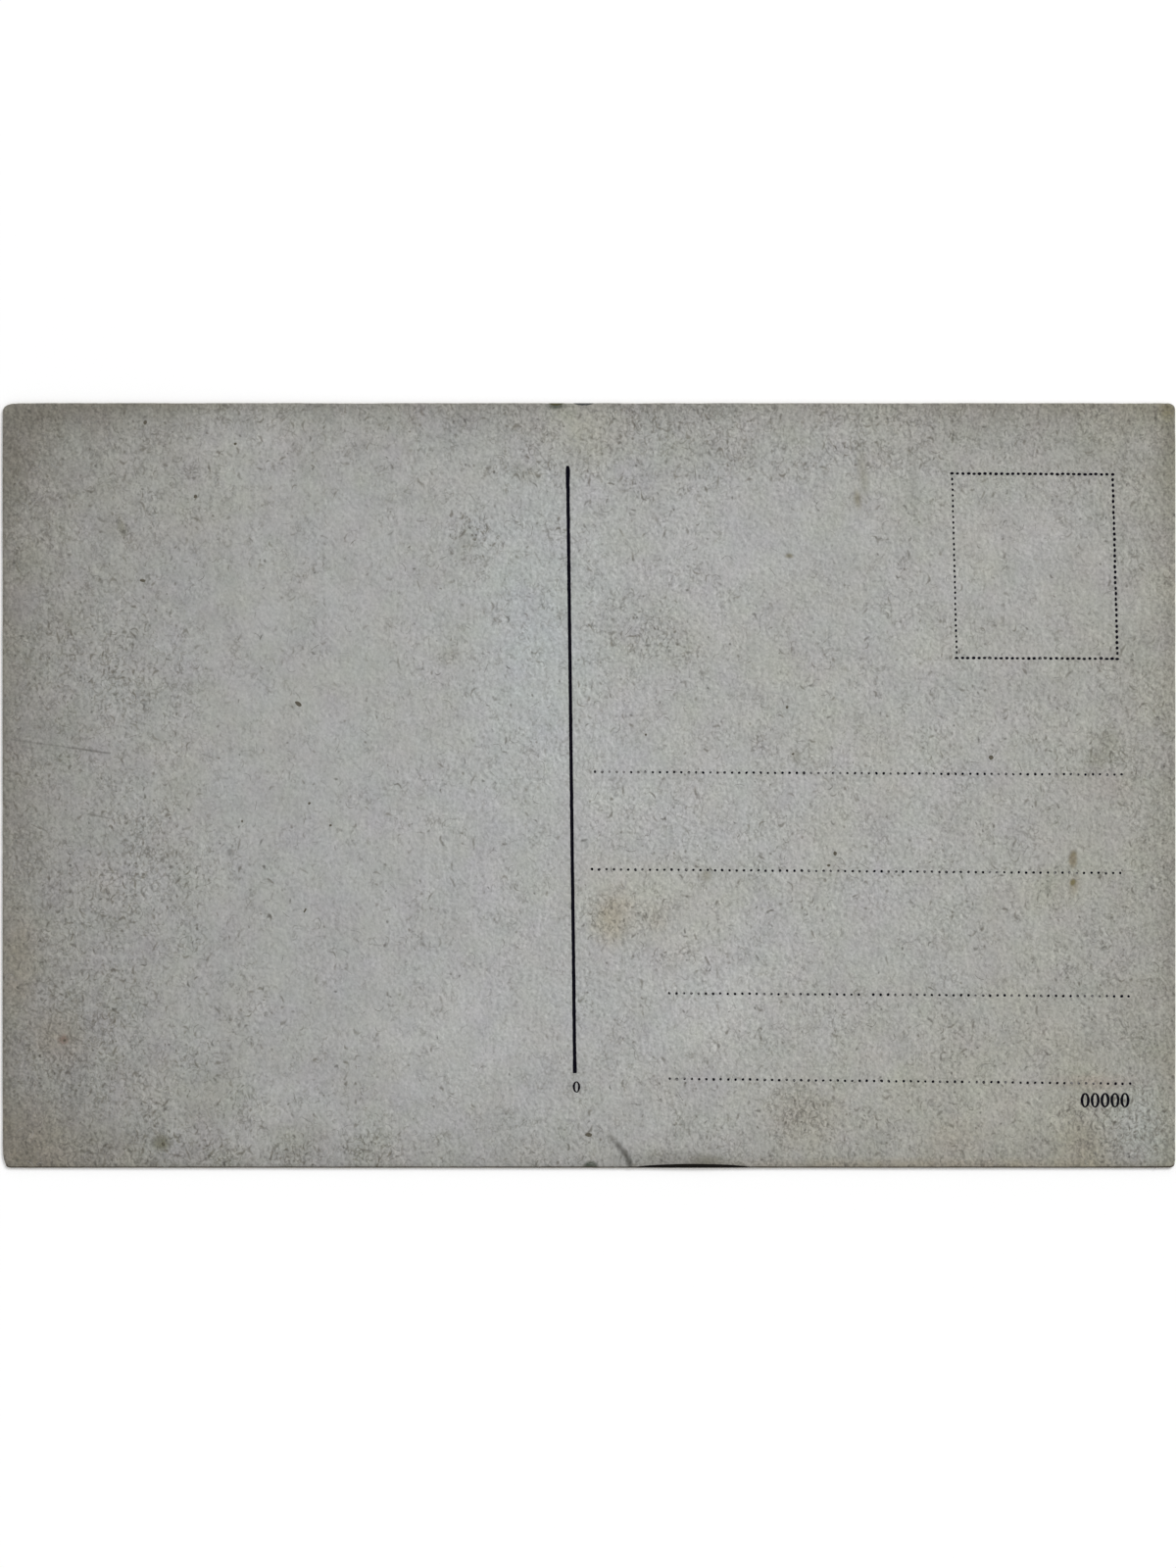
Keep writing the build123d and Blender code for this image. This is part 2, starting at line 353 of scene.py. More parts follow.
# Wood splinters in the paper: from the left and top edges, length, width and turn in degrees
SPLINTERS = (
    (34.8, 35.4, 0.95, 0.55, -35),
    (68.95, 86.1, 0.88, 0.48, 0),
    (116.3, 41.7, 0.68, 0.60, 0),
    (16.8, 2.3, 0.60, 0.45, 60),
    (27.4, 4.8, 0.40, 0.28, 10),
    (22.7, 11.0, 0.52, 0.44, 80),
    (16.5, 20.9, 0.70, 0.36, -10),
    (36.1, 47.1, 0.40, 0.30, 50),
    (7.3, 75.0, 0.50, 0.30, 20),
    (18.9, 87.2, 0.60, 0.35, 140),
    (97.2, 54.4, 0.46, 0.40, 0),
    (97.95, 53.0, 0.55, 0.44, 90),
    (92.3, 35.8, 0.42, 0.34, 90),
    (93.0, 41.3, 0.34, 0.26, 40),
    (75.7, 39.0, 0.32, 0.28, 0),
    (35.6, 59.7, 0.58, 0.28, 60),
    (38.6, 49.7, 0.40, 0.32, 0),
    (28.2, 49.2, 0.34, 0.26, 90),
)
SPLINTER_HEIGHT = 0.03
SPLINTER_SPREAD = 0.1
SPLINTER_RAGGED = 0.08
SPLINTER_SEED = 3

# Loose fibres: step of the face that they lie on, length and thickness, how far they crowd from the left edge
# and from the top and bottom edges, and width of their clouds
FIBRE_FACE_STEP = 2.0
FIBRE_LENGTH = 1.0
FIBRE_THICKNESS = 0.022
FIBRE_SIDE_REACH = 20.0
FIBRE_END_REACH = 8.0
FIBRE_CLOUD = 13.0

# Each form of loose fibre: bow of its middle and height of its end, as shares of its length
STRANDS = ((0.16, 0.10), (-0.22, 0.06), (0.30, -0.12), (-0.10, -0.20), (0.05, 0.28), (-0.34, 0.18))

# How much longer and wider than its type a mark has printed, and how weak and how strong its inking gets;
# how much smaller the marks of the light side are, and how much sizes and places of marks vary
STAMP_PRINT = (1.06, 1.24, 0.55, 1.45)
RULE_PRINT = (1.0, 0.94, 0.28, 1.25)
STAMP_LIGHT_SIDE = 0.24
MARK_SPREAD = 0.12
MARK_SHIFT = 0.03

# Number places, held by plain zeros: height, width and pitch of a figure, drop below the rule above, indent
# from the right end of that rule and count of the figures
SHORT_FIGURE = (1.30, 0.86, 0.0)
LONG_FIGURE = (1.70, 1.04, 1.17)
SHORT_DROP = 1.61
LONG_DROP = 1.77
LONG_INDENT = 0.25
LONG_COUNT = 5

# Form of a zero: its sides, its section as shares across, along and up, how fine its ragged edge is, and its
# inking
FIGURE_SIDES = 30
FIGURE_SECTION = ((1.04, 1.02, 0.0), (1.0, 1.0, 1.0), (0.44, 0.82, 1.0), (0.40, 0.80, 0.0))
FIGURE_FINENESS = 3.1
FIGURE_INKING = 0.95

# Divider: step along it, its sway, its section as shares across and up, its inking and its weight as a share
# of its width. For each end, how much it swells, how far in and over what reach, and how much it tapers and
# over what reach.
DIVIDER_STEP = 0.12
DIVIDER_SWAY = 0.02
DIVIDER_SECTION = ((-1.0, 0.0), (-0.85, 0.8), (-0.4, 1.0), (0.4, 1.0), (0.85, 0.8), (1.0, 0.0))
DIVIDER_INKING = 0.97
DIVIDER_WEIGHT = 1.04
DIVIDER_TOP_END = (0.24, 0.7, 1.6, 0.5, 0.18)
DIVIDER_FOOT_END = (0.24, 0.4, 0.9, 0.3, 0.08)

# Border of the picture: step along it, and how far and how finely the ink strays from it
PICTURE_STEP = 0.5
PICTURE_STRAY = 0.05
PICTURE_FINENESS = 1.3

# Large lamp and floor, in metres
LAMP_PLACE = Vector((0.45, 0.55, 0.75))
LAMP_WIDTH = 0.5
FLOOR_HALF = 3.0
FLOOR_DROP = 0.00002

# Camera: width of its sensor and its place over the card, in millimetres, and the nearest that it sees, in
# metres
SENSOR = 36.0
CAMERA_PLACE = (-0.115, 0.173)
NEAREST = 0.01


class PaperSettings(bpy.types.PropertyGroup):
    """Colours and wear of the paper."""

    light: bpy.props.FloatVectorProperty(
        name="Paper", description="Colour of the untoned address paper", subtype="COLOR",
        default=srgb(171, 172, 171), min=0, max=1)
    toned: bpy.props.FloatVectorProperty(
        name="Toned Paper", description="Colour that the paper ages to along its edges", subtype="COLOR",
        default=srgb(112, 108, 98), min=0, max=1)
    fibre: bpy.props.FloatVectorProperty(
        name="Fibre", description="Colour of the wood fibres", subtype="COLOR",
        default=srgb(104, 101, 93), min=0, max=1)
    fray: bpy.props.FloatProperty(
        name="Edge Fray", description="How far the card's edge has worn back", unit="LENGTH",
        default=0.06 * MM, min=0, max=0.5 * MM)
    fibres: bpy.props.FloatProperty(
        name="Fibres", description="Loose fibres on a square millimetre of the address face",
        default=0.2, min=0, max=1)
    seed: bpy.props.IntProperty(name="Seed", description="Seed of the loose fibres", default=4, min=0)


class PrintSettings(bpy.types.PropertyGroup):
    """Colours and inking of the print."""

    ink: bpy.props.FloatVectorProperty(
        name="Rule Ink", description="Colour of the printed rules", subtype="COLOR",
        default=srgb(7, 7, 14), min=0, max=1)
    ragged: bpy.props.FloatProperty(
        name="Ragged Edge", description="How far the ink strays from a clean edge", unit="LENGTH",
        default=0.035 * MM, min=0, max=0.2 * MM)
    missing: bpy.props.FloatProperty(
        name="Missing Dots", description="Share of the dots that did not print", subtype="FACTOR",
        default=0.012, min=0, max=1)
    picture_light: bpy.props.FloatVectorProperty(
        name="Picture Lights", description="Lightest tone of the picture", subtype="COLOR",
        default=srgb(224, 209, 178), min=0, max=1)
    picture_dark: bpy.props.FloatVectorProperty(
        name="Picture Darks", description="Darkest tone of the picture", subtype="COLOR",
        default=srgb(48, 36, 28), min=0, max=1)


class StageSettings(bpy.types.PropertyGroup):
    """Camera, floor and light."""

    lens: bpy.props.FloatProperty(
        name="Lens", description="Focal length of the camera in millimetres", default=85.0, min=20, max=200)
    frame_height: bpy.props.FloatProperty(
        name="Frame Height", description="Height of the view at the card's face", unit="LENGTH",
        default=184.46 * MM, min=0.05, max=2)
    soft_light: bpy.props.FloatProperty(
        name="Soft Light", description="Level of the even light from all round", default=0.62, min=0, max=2)
    lamp_power: bpy.props.FloatProperty(
        name="Lamp", description="Power of the large lamp in watts", subtype="POWER",
        default=5.9, min=0, max=100)
    floor: bpy.props.FloatVectorProperty(
        name="Floor", description="Colour of the floor", subtype="COLOR",
        default=(0.8, 0.8, 0.8), min=0, max=1)


class Graph:
    """A node tree that is written as a sum: each method adds a node and gives back its output."""

    def __init__(self, tree):
        self.tree = tree

    def add(self, kind, values=None, **settings):
        """New node with its settings, and its inputs linked or set."""
        node = self.tree.nodes.new(kind)
        for name, value in settings.items():
            setattr(node, name, value)
        for name, value in (values or {}).items():
            if isinstance(value, bpy.types.NodeSocket):
                self.tree.links.new(value, node.inputs[name])
            else:
                node.inputs[name].default_value = value
        return node

    def math(self, operation, first, second=0.0, third=0.0, clamp=False):
        values = {0: first, 1: second, 2: third}
        return self.add("ShaderNodeMath", values, operation=operation, use_clamp=clamp).outputs[0]

    def plus(self, first, second, clamp=False):
        return self.math("ADD", first, second, clamp=clamp)

    def minus(self, first, second, clamp=False):
        return self.math("SUBTRACT", first, second, clamp=clamp)

    def times(self, first, second):
        return self.math("MULTIPLY", first, second)

    def vector(self, operation, first, second=(0, 0, 0)):
        return self.add("ShaderNodeVectorMath", {0: first, 1: second}, operation=operation).outputs["Vector"]

    def measure(self, operation, first, second=(0, 0, 0)):
        return self.add("ShaderNodeVectorMath", {0: first, 1: second}, operation=operation).outputs["Value"]

    def scaled(self, vector, factor):
        values = {0: vector, "Scale": factor}
        return self.add("ShaderNodeVectorMath", values, operation="SCALE").outputs["Vector"]

    def flat(self, vector):
        """The place without its height."""
        return self.vector("MULTIPLY", vector, (1, 1, 0))

    def toned(self, colour, level):
        """The colour made lighter or darker by a level, which is 1 for no change."""
        return self.vector("MULTIPLY", colour, self.joined(level, level, level))

    def smooth(self, value, low, high):
        """Soft step from 0 at low to 1 at high."""
        values = {"Value": value, "From Min": low, "From Max": high}
        return self.add("ShaderNodeMapRange", values, interpolation_type="SMOOTHSTEP").outputs["Result"]

    def fade(self, value, low, high):
        """Soft step from 1 at low to 0 at high."""
        return self.minus(1.0, self.smooth(value, low, high))

    def between(self, value, low, high):
        """A share from 0 to 1 laid out between two values."""
        values = {"Value": value, "To Min": low, "To Max": high}
        return self.add("ShaderNodeMapRange", values).outputs["Result"]

    def mix(self, share, *colours):
        """Colour between two colours, each an output or plain red, green and blue."""
        first, second = (
            colour if isinstance(colour, bpy.types.NodeSocket) else (*colour, 1) for colour in colours
        )
        return self.add("ShaderNodeMix", {0: share, 6: first, 7: second}, data_type="RGBA").outputs[2]

    def blend(self, share, first, second):
        """Value between two values."""
        return self.add("ShaderNodeMix", {0: share, 2: first, 3: second}, data_type="FLOAT").outputs[0]

    def noise(self, vector, scale, detail=2.0, roughness=0.5, distortion=0.0):
        return self.add("ShaderNodeTexNoise", {
            "Vector": vector, "Scale": scale, "Detail": detail, "Roughness": roughness,
            "Distortion": distortion,
        }).outputs["Fac"]

    def swing(self, *noise):
        """Noise that swings about zero."""
        return self.minus(self.noise(*noise), 0.5)

    def noise_line(self, place, scale, detail=2.0, roughness=0.5):
        """Noise along one line."""
        return self.add("ShaderNodeTexNoise", {
            "W": place, "Scale": scale, "Detail": detail, "Roughness": roughness,
        }, noise_dimensions="1D").outputs["Fac"]

    def wander(self, vector, scale, reach):
        """The place moved about by a slow noise, so that what is drawn there has uneven edges."""
        values = {"Vector": vector, "Scale": scale, "Detail": 2.0}
        colour = self.add("ShaderNodeTexNoise", values).outputs["Color"]
        stray = self.vector("SUBTRACT", colour, (0.5, 0.5, 0.5))
        return self.vector("ADD", vector, self.scaled(stray, 2 * reach))

    def millimetres(self):
        """Place on the piece, in millimetres."""
        return self.scaled(self.add("ShaderNodeTexCoord").outputs["Object"], 1 / MM)

    def parts(self, vector):
        return self.add("ShaderNodeSeparateXYZ", {0: vector}).outputs

    def joined(self, x, y, z=0.0):
        return self.add("ShaderNodeCombineXYZ", {0: x, 1: y, 2: z}).outputs[0]

    def group(self, tree, values):
        return self.add("ShaderNodeGroup", values, node_tree=tree).outputs

    def seen(self, path):
        """1 for what the camera sees, straight or by way of gloss or glass."""
        mirrored = self.math("MAXIMUM", path["Is Glossy Ray"], path["Is Transmission Ray"])
        return self.math("MAXIMUM", path["Is Camera Ray"], mirrored)


def shader_group(name, inputs, outputs):
    """New shader node group: its graph, its input sockets and its output sockets, by name."""
    tree = bpy.data.node_groups.new(name, "ShaderNodeTree")
    for socket, (kind, value) in inputs.items():
        made = tree.interface.new_socket(socket, in_out="INPUT", socket_type=kind)
        made.default_value = value
    for socket in outputs:
        tree.interface.new_socket(socket, in_out="OUTPUT", socket_type="NodeSocketFloat")
    given = tree.nodes.new("NodeGroupInput").outputs
    wanted = tree.nodes.new("NodeGroupOutput").inputs
    return Graph(tree), given, wanted


def give(graph, wanted, values):
    """Link the results of a graph to its output sockets."""
    for name, value in values.items():
        graph.tree.links.new(value, wanted[name])
    return graph.tree


FLOAT = "NodeSocketFloat"
VECTOR = "NodeSocketVector"


def side_toning_group():
    """How far paper has toned at a distance from one edge: a wide tone and a narrow rim."""
    graph, given, wanted = shader_group("side_toning", {
        "Distance": (FLOAT, 0.0), "Wide Reach": (FLOAT, 10.0), "Wide Strength": (FLOAT, 0.3),
        "Rim Reach": (FLOAT, 2.0), "Rim Strength": (FLOAT, 0.2),
    }, ["Toning"])
    tones = []
    for part in ("Wide", "Rim"):
        share = graph.math("DIVIDE", given["Distance"], given[f"{part} Reach"])
        fall = graph.math("EXPONENT", graph.times(share, -1.0))
        tones.append(graph.times(fall, given[f"{part} Strength"]))
    return give(graph, wanted, {"Toning": graph.plus(*tones)})


def fibre_group():
    """Short bent fibres, one at most in each cell of a loose lattice."""
    graph, given, wanted = shader_group("short_fibres", {
        "Vector": (VECTOR, (0, 0, 0)), "Spacing": (FLOAT, 1.0), "Share": (FLOAT, 0.6),
        "Half Length": (FLOAT, 0.3), "Half Width": (FLOAT, 0.1), "Faint": (FLOAT, 0.35),
    }, ["Fibres"])
    flat = graph.flat(given["Vector"])
    cells = graph.add("ShaderNodeTexVoronoi", {
        "Vector": flat, "Scale": graph.math("DIVIDE", 1.0, given["Spacing"]),
    }, voronoi_dimensions="2D").outputs
    chance, bend, size = graph.parts(cells["Color"])
    angle = graph.times(graph.plus(graph.times(bend, 5.3), size), math.tau)
    turned = graph.add("ShaderNodeVectorRotate", {
        "Vector": graph.vector("SUBTRACT", flat, cells["Position"]), "Angle": angle,
    }, rotation_type="Z_AXIS").outputs["Vector"]
    along, aside, _ = graph.parts(turned)
    bow = graph.times(graph.minus(bend, 0.5), 3.6)
    bowed = graph.plus(aside, graph.times(graph.times(along, along), bow))
    long = graph.times(given["Half Length"], graph.between(graph.times(size, size), 0.4, 1.9))
    thick = graph.times(given["Half Width"], graph.between(bend, 0.65, 1.35))
    shares = graph.joined(graph.math("DIVIDE", along, long), graph.math("DIVIDE", bowed, thick))
    away = graph.measure("LENGTH", shares)
    fibre = graph.fade(away, 0.3, 1.5)
    kept = graph.smooth(graph.minus(given["Share"], chance), 0.0, given["Faint"])
    return give(graph, wanted, {"Fibres": graph.times(fibre, kept)})


def pulp_group():
    """Wood pulp: straight and curled fibres, specks, painted light and shade of a felted surface of small
    hills, speckle, mottling and fine grain.

    Curled fibres follow the level lines of a noise and are broken off by another one.
    """
    graph, given, wanted = shader_group("wood_pulp", {
        "Vector": (VECTOR, (0, 0, 0)), "Share": (FLOAT, 0.5),
    }, ["Dark Fibres", "Dark Curls", "Light Fibres", "Specks", "Felt Shading", "Speckle", "Mottling", "Grain"])
    place = graph.vector("MULTIPLY", given["Vector"], (1.0, 0.82, 1.0))
    curled = graph.wander(place, 1.1, 0.22)
    layers = []
    for shift, spacing, half_length, half_width, least, faint in FIBRE_LAYERS:
        layers.append(graph.group(GROUPS["fibre"], {
            "Vector": graph.vector("ADD", curled, (shift, shift, 0)), "Spacing": spacing,
            "Share": graph.math("MULTIPLY_ADD", given["Share"], CROWDING, least),
            "Half Length": half_length, "Half Width": half_width, "Faint": faint,
        })["Fibres"])
    curls = []
    for shift, fineness, half_width in (DARK_CURLS, LIGHT_CURLS):
        here = graph.vector("ADD", place, shift)
        level = graph.math("ABSOLUTE", graph.swing(here, fineness, 1.0))
        line = graph.fade(level, 0.0, half_width)
        start = graph.math("MULTIPLY_ADD", given["Share"], -0.30, 0.60)
        broken = graph.noise(graph.vector("ADD", here, shift), 1.1, 1.0)
        kept = graph.smooth(broken, start, graph.plus(start, 0.1))
        curls.append(graph.times(line, kept))
    pale = graph.times(curls[1], graph.between(given["Share"], 0.45, 1.0))
    felt_shading = 0.0
    for shift, fineness, step, strength in FELT_LAYERS:
        here = graph.vector("ADD", curled, shift)
        there = graph.vector("ADD", here, step)
        slope = graph.minus(graph.noise(here, fineness, 2.0, 0.6), graph.noise(there, fineness, 2.0, 0.6))
        felt_shading = graph.plus(felt_shading, graph.times(slope, strength))
    coarse = graph.noise(curled, 1.9, 1.0, 0.6)
    close = graph.noise(graph.vector("ADD", curled, (13.0, 5.0, 0)), 3.4, 1.0, 0.5)
    return give(graph, wanted, {
        "Dark Fibres": graph.math("MAXIMUM", layers[0], layers[1]),
        "Dark Curls": curls[0],
        "Light Fibres": graph.math("MAXIMUM", layers[2], pale),
        "Specks": layers[3],
        "Felt Shading": felt_shading,
        "Speckle": graph.smooth(graph.blend(0.5, coarse, close), 0.57, 0.35),
        "Mottling": graph.noise(place, 0.75, 4.0, 0.66),
        "Grain": graph.noise(place, 3.9, 2.0, 0.6),
    })


def stain_group():
    """One blot: an ellipse with a soft edge."""
    graph, given, wanted = shader_group("stain_blot", {
        "Vector": (VECTOR, (0, 0, 0)), "Centre": (VECTOR, (0, 0, 0)), "Size": (VECTOR, (1, 1, 1)),
        "Turn": (FLOAT, 0.0), "Softness": (FLOAT, 0.8),
    }, ["Stain"])
    place = graph.vector("SUBTRACT", given["Vector"], given["Centre"])
    turned = graph.add("ShaderNodeVectorRotate", {"Vector": place, "Angle": given["Turn"]},
                       rotation_type="Z_AXIS").outputs["Vector"]
    away = graph.measure("LENGTH", graph.vector("DIVIDE", turned, given["Size"]))
    inner = graph.minus(1.0, given["Softness"])
    outer = graph.plus(1.0, given["Softness"])
    return give(graph, wanted, {"Stain": graph.fade(away, inner, outer)})


def scratch_group():
    """One straight scratch between two points."""
    graph, given, wanted = shader_group("scratch_line", {
        "Vector": (VECTOR, (0, 0, 0)), "From": (VECTOR, (0, 0, 0)), "To": (VECTOR, (1, 0, 0)),
        "Half Width": (FLOAT, 0.2),
    }, ["Scratch"])
    run = graph.vector("SUBTRACT", given["To"], given["From"])
    place = graph.vector("SUBTRACT", given["Vector"], given["From"])
    along = graph.measure("DOT_PRODUCT", place, run)
    share = graph.math("DIVIDE", along, graph.measure("DOT_PRODUCT", run, run), clamp=True)
    away = graph.measure("LENGTH", graph.vector("SUBTRACT", place, graph.scaled(run, share)))
    return give(graph, wanted, {"Scratch": graph.fade(away, 0.0, given["Half Width"])})


def ink_group():
    """How well ink covers the paper: full in a strong impression, broken by pinholes in a weak one."""
    graph, given, wanted = shader_group("ink_coverage", {
        "Vector": (VECTOR, (0, 0, 0)), "Inking": (FLOAT, 0.8), "Scale": (FLOAT, 6.0),
    }, ["Coverage"])
    holes = graph.noise(given["Vector"], given["Scale"], 3.0, 0.65)
    low = graph.minus(0.78, graph.times(given["Inking"], 0.72))
    return give(graph, wanted, {"Coverage": graph.smooth(holes, low, graph.plus(low, 0.22))})


def ridge_group():
    """One line of hills in a view: 1 below its skyline and 0 above."""
    graph, given, wanted = shader_group("hill_line", {
        "Across": (FLOAT, 0.0), "Up": (FLOAT, 0.0), "Level": (FLOAT, 0.0), "Height": (FLOAT, 10.0),
        "Width": (FLOAT, 40.0), "Shift": (FLOAT, 0.0), "Roughness": (FLOAT, 0.5), "Softness": (FLOAT, 0.3),
    }, ["Hill", "Depth"])
    along = graph.plus(graph.math("DIVIDE", given["Across"], given["Width"]), given["Shift"])
    line = graph.noise_line(along, 1.0, 6.0, given["Roughness"])
    rise = graph.times(graph.minus(line, 0.5), given["Height"])
    depth = graph.minus(graph.plus(given["Level"], rise), given["Up"])
    soft = graph.times(given["Softness"], -1.0)
    return give(graph, wanted, {"Hill": graph.smooth(depth, soft, given["Softness"]), "Depth": depth})


GROUPS = {}


def build_groups():
    """Make the shared shader groups, each before the groups that hold it."""
    for name, build in (
        ("toning", side_toning_group),
        ("fibre", fibre_group),
        ("pulp", pulp_group),
        ("stain", stain_group),
        ("scratch", scratch_group),
        ("ink", ink_group),
        ("ridge", ridge_group),
    ):
        GROUPS[name] = build()


def new_material(name):
    """New material, its graph and its shader."""
    material = bpy.data.materials.new(name)
    material.use_nodes = True
    return material, Graph(material.node_tree), material.node_tree.nodes["Principled BSDF"]


def finish_material(graph, shader, colour, roughness, height=None, depth=0.01, strength=1.0, specular=0.5):
    """Link colour, roughness and relief to a shader and set its shine. Depth is in millimetres."""
    graph.tree.links.new(colour, shader.inputs["Base Color"])
    graph.tree.links.new(roughness, shader.inputs["Roughness"])
    shader.inputs["Specular IOR Level"].default_value = specular
    if height is not None:
        bump = graph.add("ShaderNodeBump", {"Height": height, "Distance": depth * MM, "Strength": strength})
        graph.tree.links.new(bump.outputs["Normal"], shader.inputs["Normal"])


def card_point(from_left, from_top):
    """Place on the card, measured from its left and top edges."""
    return (LEFT + from_left, TOP - from_top, 0.0)


def blot(graph, place, centre, half_size, turn=0.0, softness=0.9):
    """How far a place lies inside a soft ellipse, which is turned by some degrees."""
    return graph.group(GROUPS["stain"], {
        "Vector": place, "Centre": centre, "Size": (*half_size, 1.0), "Turn": math.radians(turn),
        "Softness": softness,
    })["Stain"]


def edge_toning(graph, place, sides):
    """Toning of a sheet from all four edges, with cloudy borders."""
    cloud = graph.times(graph.swing(place, 0.11, 4.0, 0.6), 9.0)
    x, y, _ = graph.parts(place)
    distances = {
        "left": graph.minus(x, LEFT),
        "right": graph.minus(RIGHT, x),
        "top": graph.minus(TOP, y),
        "bottom": graph.minus(y, BOTTOM),
    }
    total = 0.0
    for side, (wide_reach, wide, rim_reach, rim) in sides.items():
        cloudy = graph.math("MAXIMUM", graph.plus(distances[side], cloud), 0.0)
        near = graph.math("MINIMUM", distances[side], CLEAR_RIM)
        share = graph.math("DIVIDE", near, CLEAR_RIM)
        distance = graph.blend(share, distances[side], cloudy)
        toning = graph.group(GROUPS["toning"], {
            "Distance": distance, "Wide Reach": wide_reach, "Wide Strength": wide,
            "Rim Reach": rim_reach, "Rim Strength": rim,
        })["Toning"]
        total = graph.plus(total, toning)
    return graph.math("MINIMUM", total, MOST_TONED)


def hue_drift(graph, place):
    """Slow drifts of old paper, as a factor for its colour: light or dark, yellow or blue, pink or green."""
    drifts = []
    for shift, fineness in (((0, 0, 0), 0.22), ((57, 21, 0), 0.17), ((24, 83, 0), 0.20)):
        drifts.append(graph.swing(graph.vector("ADD", place, shift), fineness, 3.0, 0.6))
    tone, yellow, pink = drifts
    bright = graph.plus(1.0, graph.times(tone, 0.24))
    yellowish = graph.scaled((0.05, 0.05, -0.09), yellow)
    tinge = graph.vector("ADD", yellowish, graph.scaled((0.05, -0.05, 0.05), pink))
    return graph.vector("ADD", graph.joined(bright, bright, bright), tinge)


def address_paper(settings):
    """Grey wood-pulp paper: toned edges, fibres, stains, scratches, a dry tooth, painted crease shade and
    painted relief light.
    """
    material, graph, shader = new_material("grey_pulp_paper")
    place = graph.millimetres()
    toning = edge_toning(graph, place, TONING)
    flat = graph.flat(place)
    spotted = graph.flat(graph.wander(flat, 0.8, 0.7))
    traced = graph.flat(graph.wander(flat, 0.5, 0.12))
    crowd = graph.plus(graph.times(toning, 0.46), graph.noise(place, 0.13, 4.0, 0.65))
    clusters = graph.swing(place, 0.42, 2.0)
    crowd = graph.plus(crowd, graph.times(clusters, 0.85))
    for from_left, from_top, wide, high, turn, amount in PATCHES:
        patch = blot(graph, spotted, card_point(from_left, from_top), (wide, high), turn)
        crowd = graph.plus(crowd, graph.times(patch, amount))
    share = graph.minus(crowd, 0.2, clamp=True)
    pulp = graph.group(GROUPS["pulp"], {"Vector": place, "Share": share})
    colour = graph.mix(toning, settings.light, settings.toned)
    aged = graph.times(graph.smooth(graph.noise(place, 0.05, 3.0, 0.6), 0.45, 0.75), 0.2)
    yellowed = graph.times(graph.smooth(graph.parts(place)[0], LEFT + YELLOW_START, RIGHT), 0.24)
    colour = graph.mix(graph.plus(aged, yellowed), colour, YELLOWED)
    for from_left, from_top, wide, high, turn, softness, tint, strength in STAINS:
        drawn = spotted if min(wide, high) > FINE_STAIN else traced
        stain = blot(graph, drawn, card_point(from_left, from_top), (wide, high), turn, softness)
        patchy = graph.times(stain, graph.between(pulp["Mottling"], 0.5 * strength, 1.5 * strength))
        colour = graph.mix(patchy, colour, tint)
    # The crease lines are painted shade along the crease, drawn in the soot colour like the scratches
    for start_left, start_top, end_left, end_top, half_width, strength in (*SCRATCHES, *CREASE_SHADE_LINES):
        scratch = graph.group(GROUPS["scratch"], {
            "Vector": traced, "From": card_point(start_left, start_top), "To": card_point(end_left, end_top),
            "Half Width": half_width,
        })["Scratch"]
        colour = graph.mix(graph.times(scratch, strength), colour, SOOT_AND_CREASE_SHADE)
    curls = graph.times(pulp["Dark Curls"], graph.between(share, 0.13, 0.66))
    dark = graph.times(pulp["Dark Fibres"], graph.between(share, 0.47, 0.95))
    dark = graph.math("MAXIMUM", dark, curls)
    colour = graph.mix(dark, colour, settings.fibre)
    colour = graph.mix(graph.times(pulp["Specks"], 0.60), colour, SPECK)
    # Painted light and shade of the felted surface, lit from the upper right; stronger rightward, where toned
    # and crowded
    rightward = graph.smooth(graph.parts(place)[0], LEFT + CRISP_START, LEFT + CRISP_END)
    crisp = graph.between(rightward, 0.47, 0.76)
    crisp = graph.plus(crisp, graph.between(graph.smooth(toning, 0.25, 0.65), 0.0, 0.16))
    crisp = graph.plus(crisp, graph.between(graph.smooth(share, 0.30, 0.80), 0.0, 0.20))
    felt_shading = graph.times(pulp["Felt Shading"], crisp)
    cloudy = graph.between(graph.smooth(toning, 0.15, 0.55), 0.14, 0.24)
    light = graph.between(pulp["Mottling"], graph.minus(1.06, cloudy), graph.plus(1.06, cloudy))
    fine = graph.between(pulp["Grain"], 0.93, 1.07)
    light_fibres_and_felt_shading = graph.plus(graph.between(pulp["Light Fibres"], 1.0, 1.15), felt_shading)
    shade = graph.times(pulp["Speckle"], graph.between(share, 0.05, 0.24))
    level = graph.times(graph.times(light, fine), graph.minus(light_fibres_and_felt_shading, shade))
    colour = graph.toned(colour, level)
    colour = graph.vector("MULTIPLY", colour, hue_drift(graph, place))
    roughness = graph.between(pulp["Mottling"], 0.82, 0.98)
    height = graph.plus(graph.times(pulp["Grain"], 0.6), pulp["Mottling"])
    finish_material(graph, shader, colour, roughness, height, depth=0.03, strength=0.6, specular=0.22)
    return material


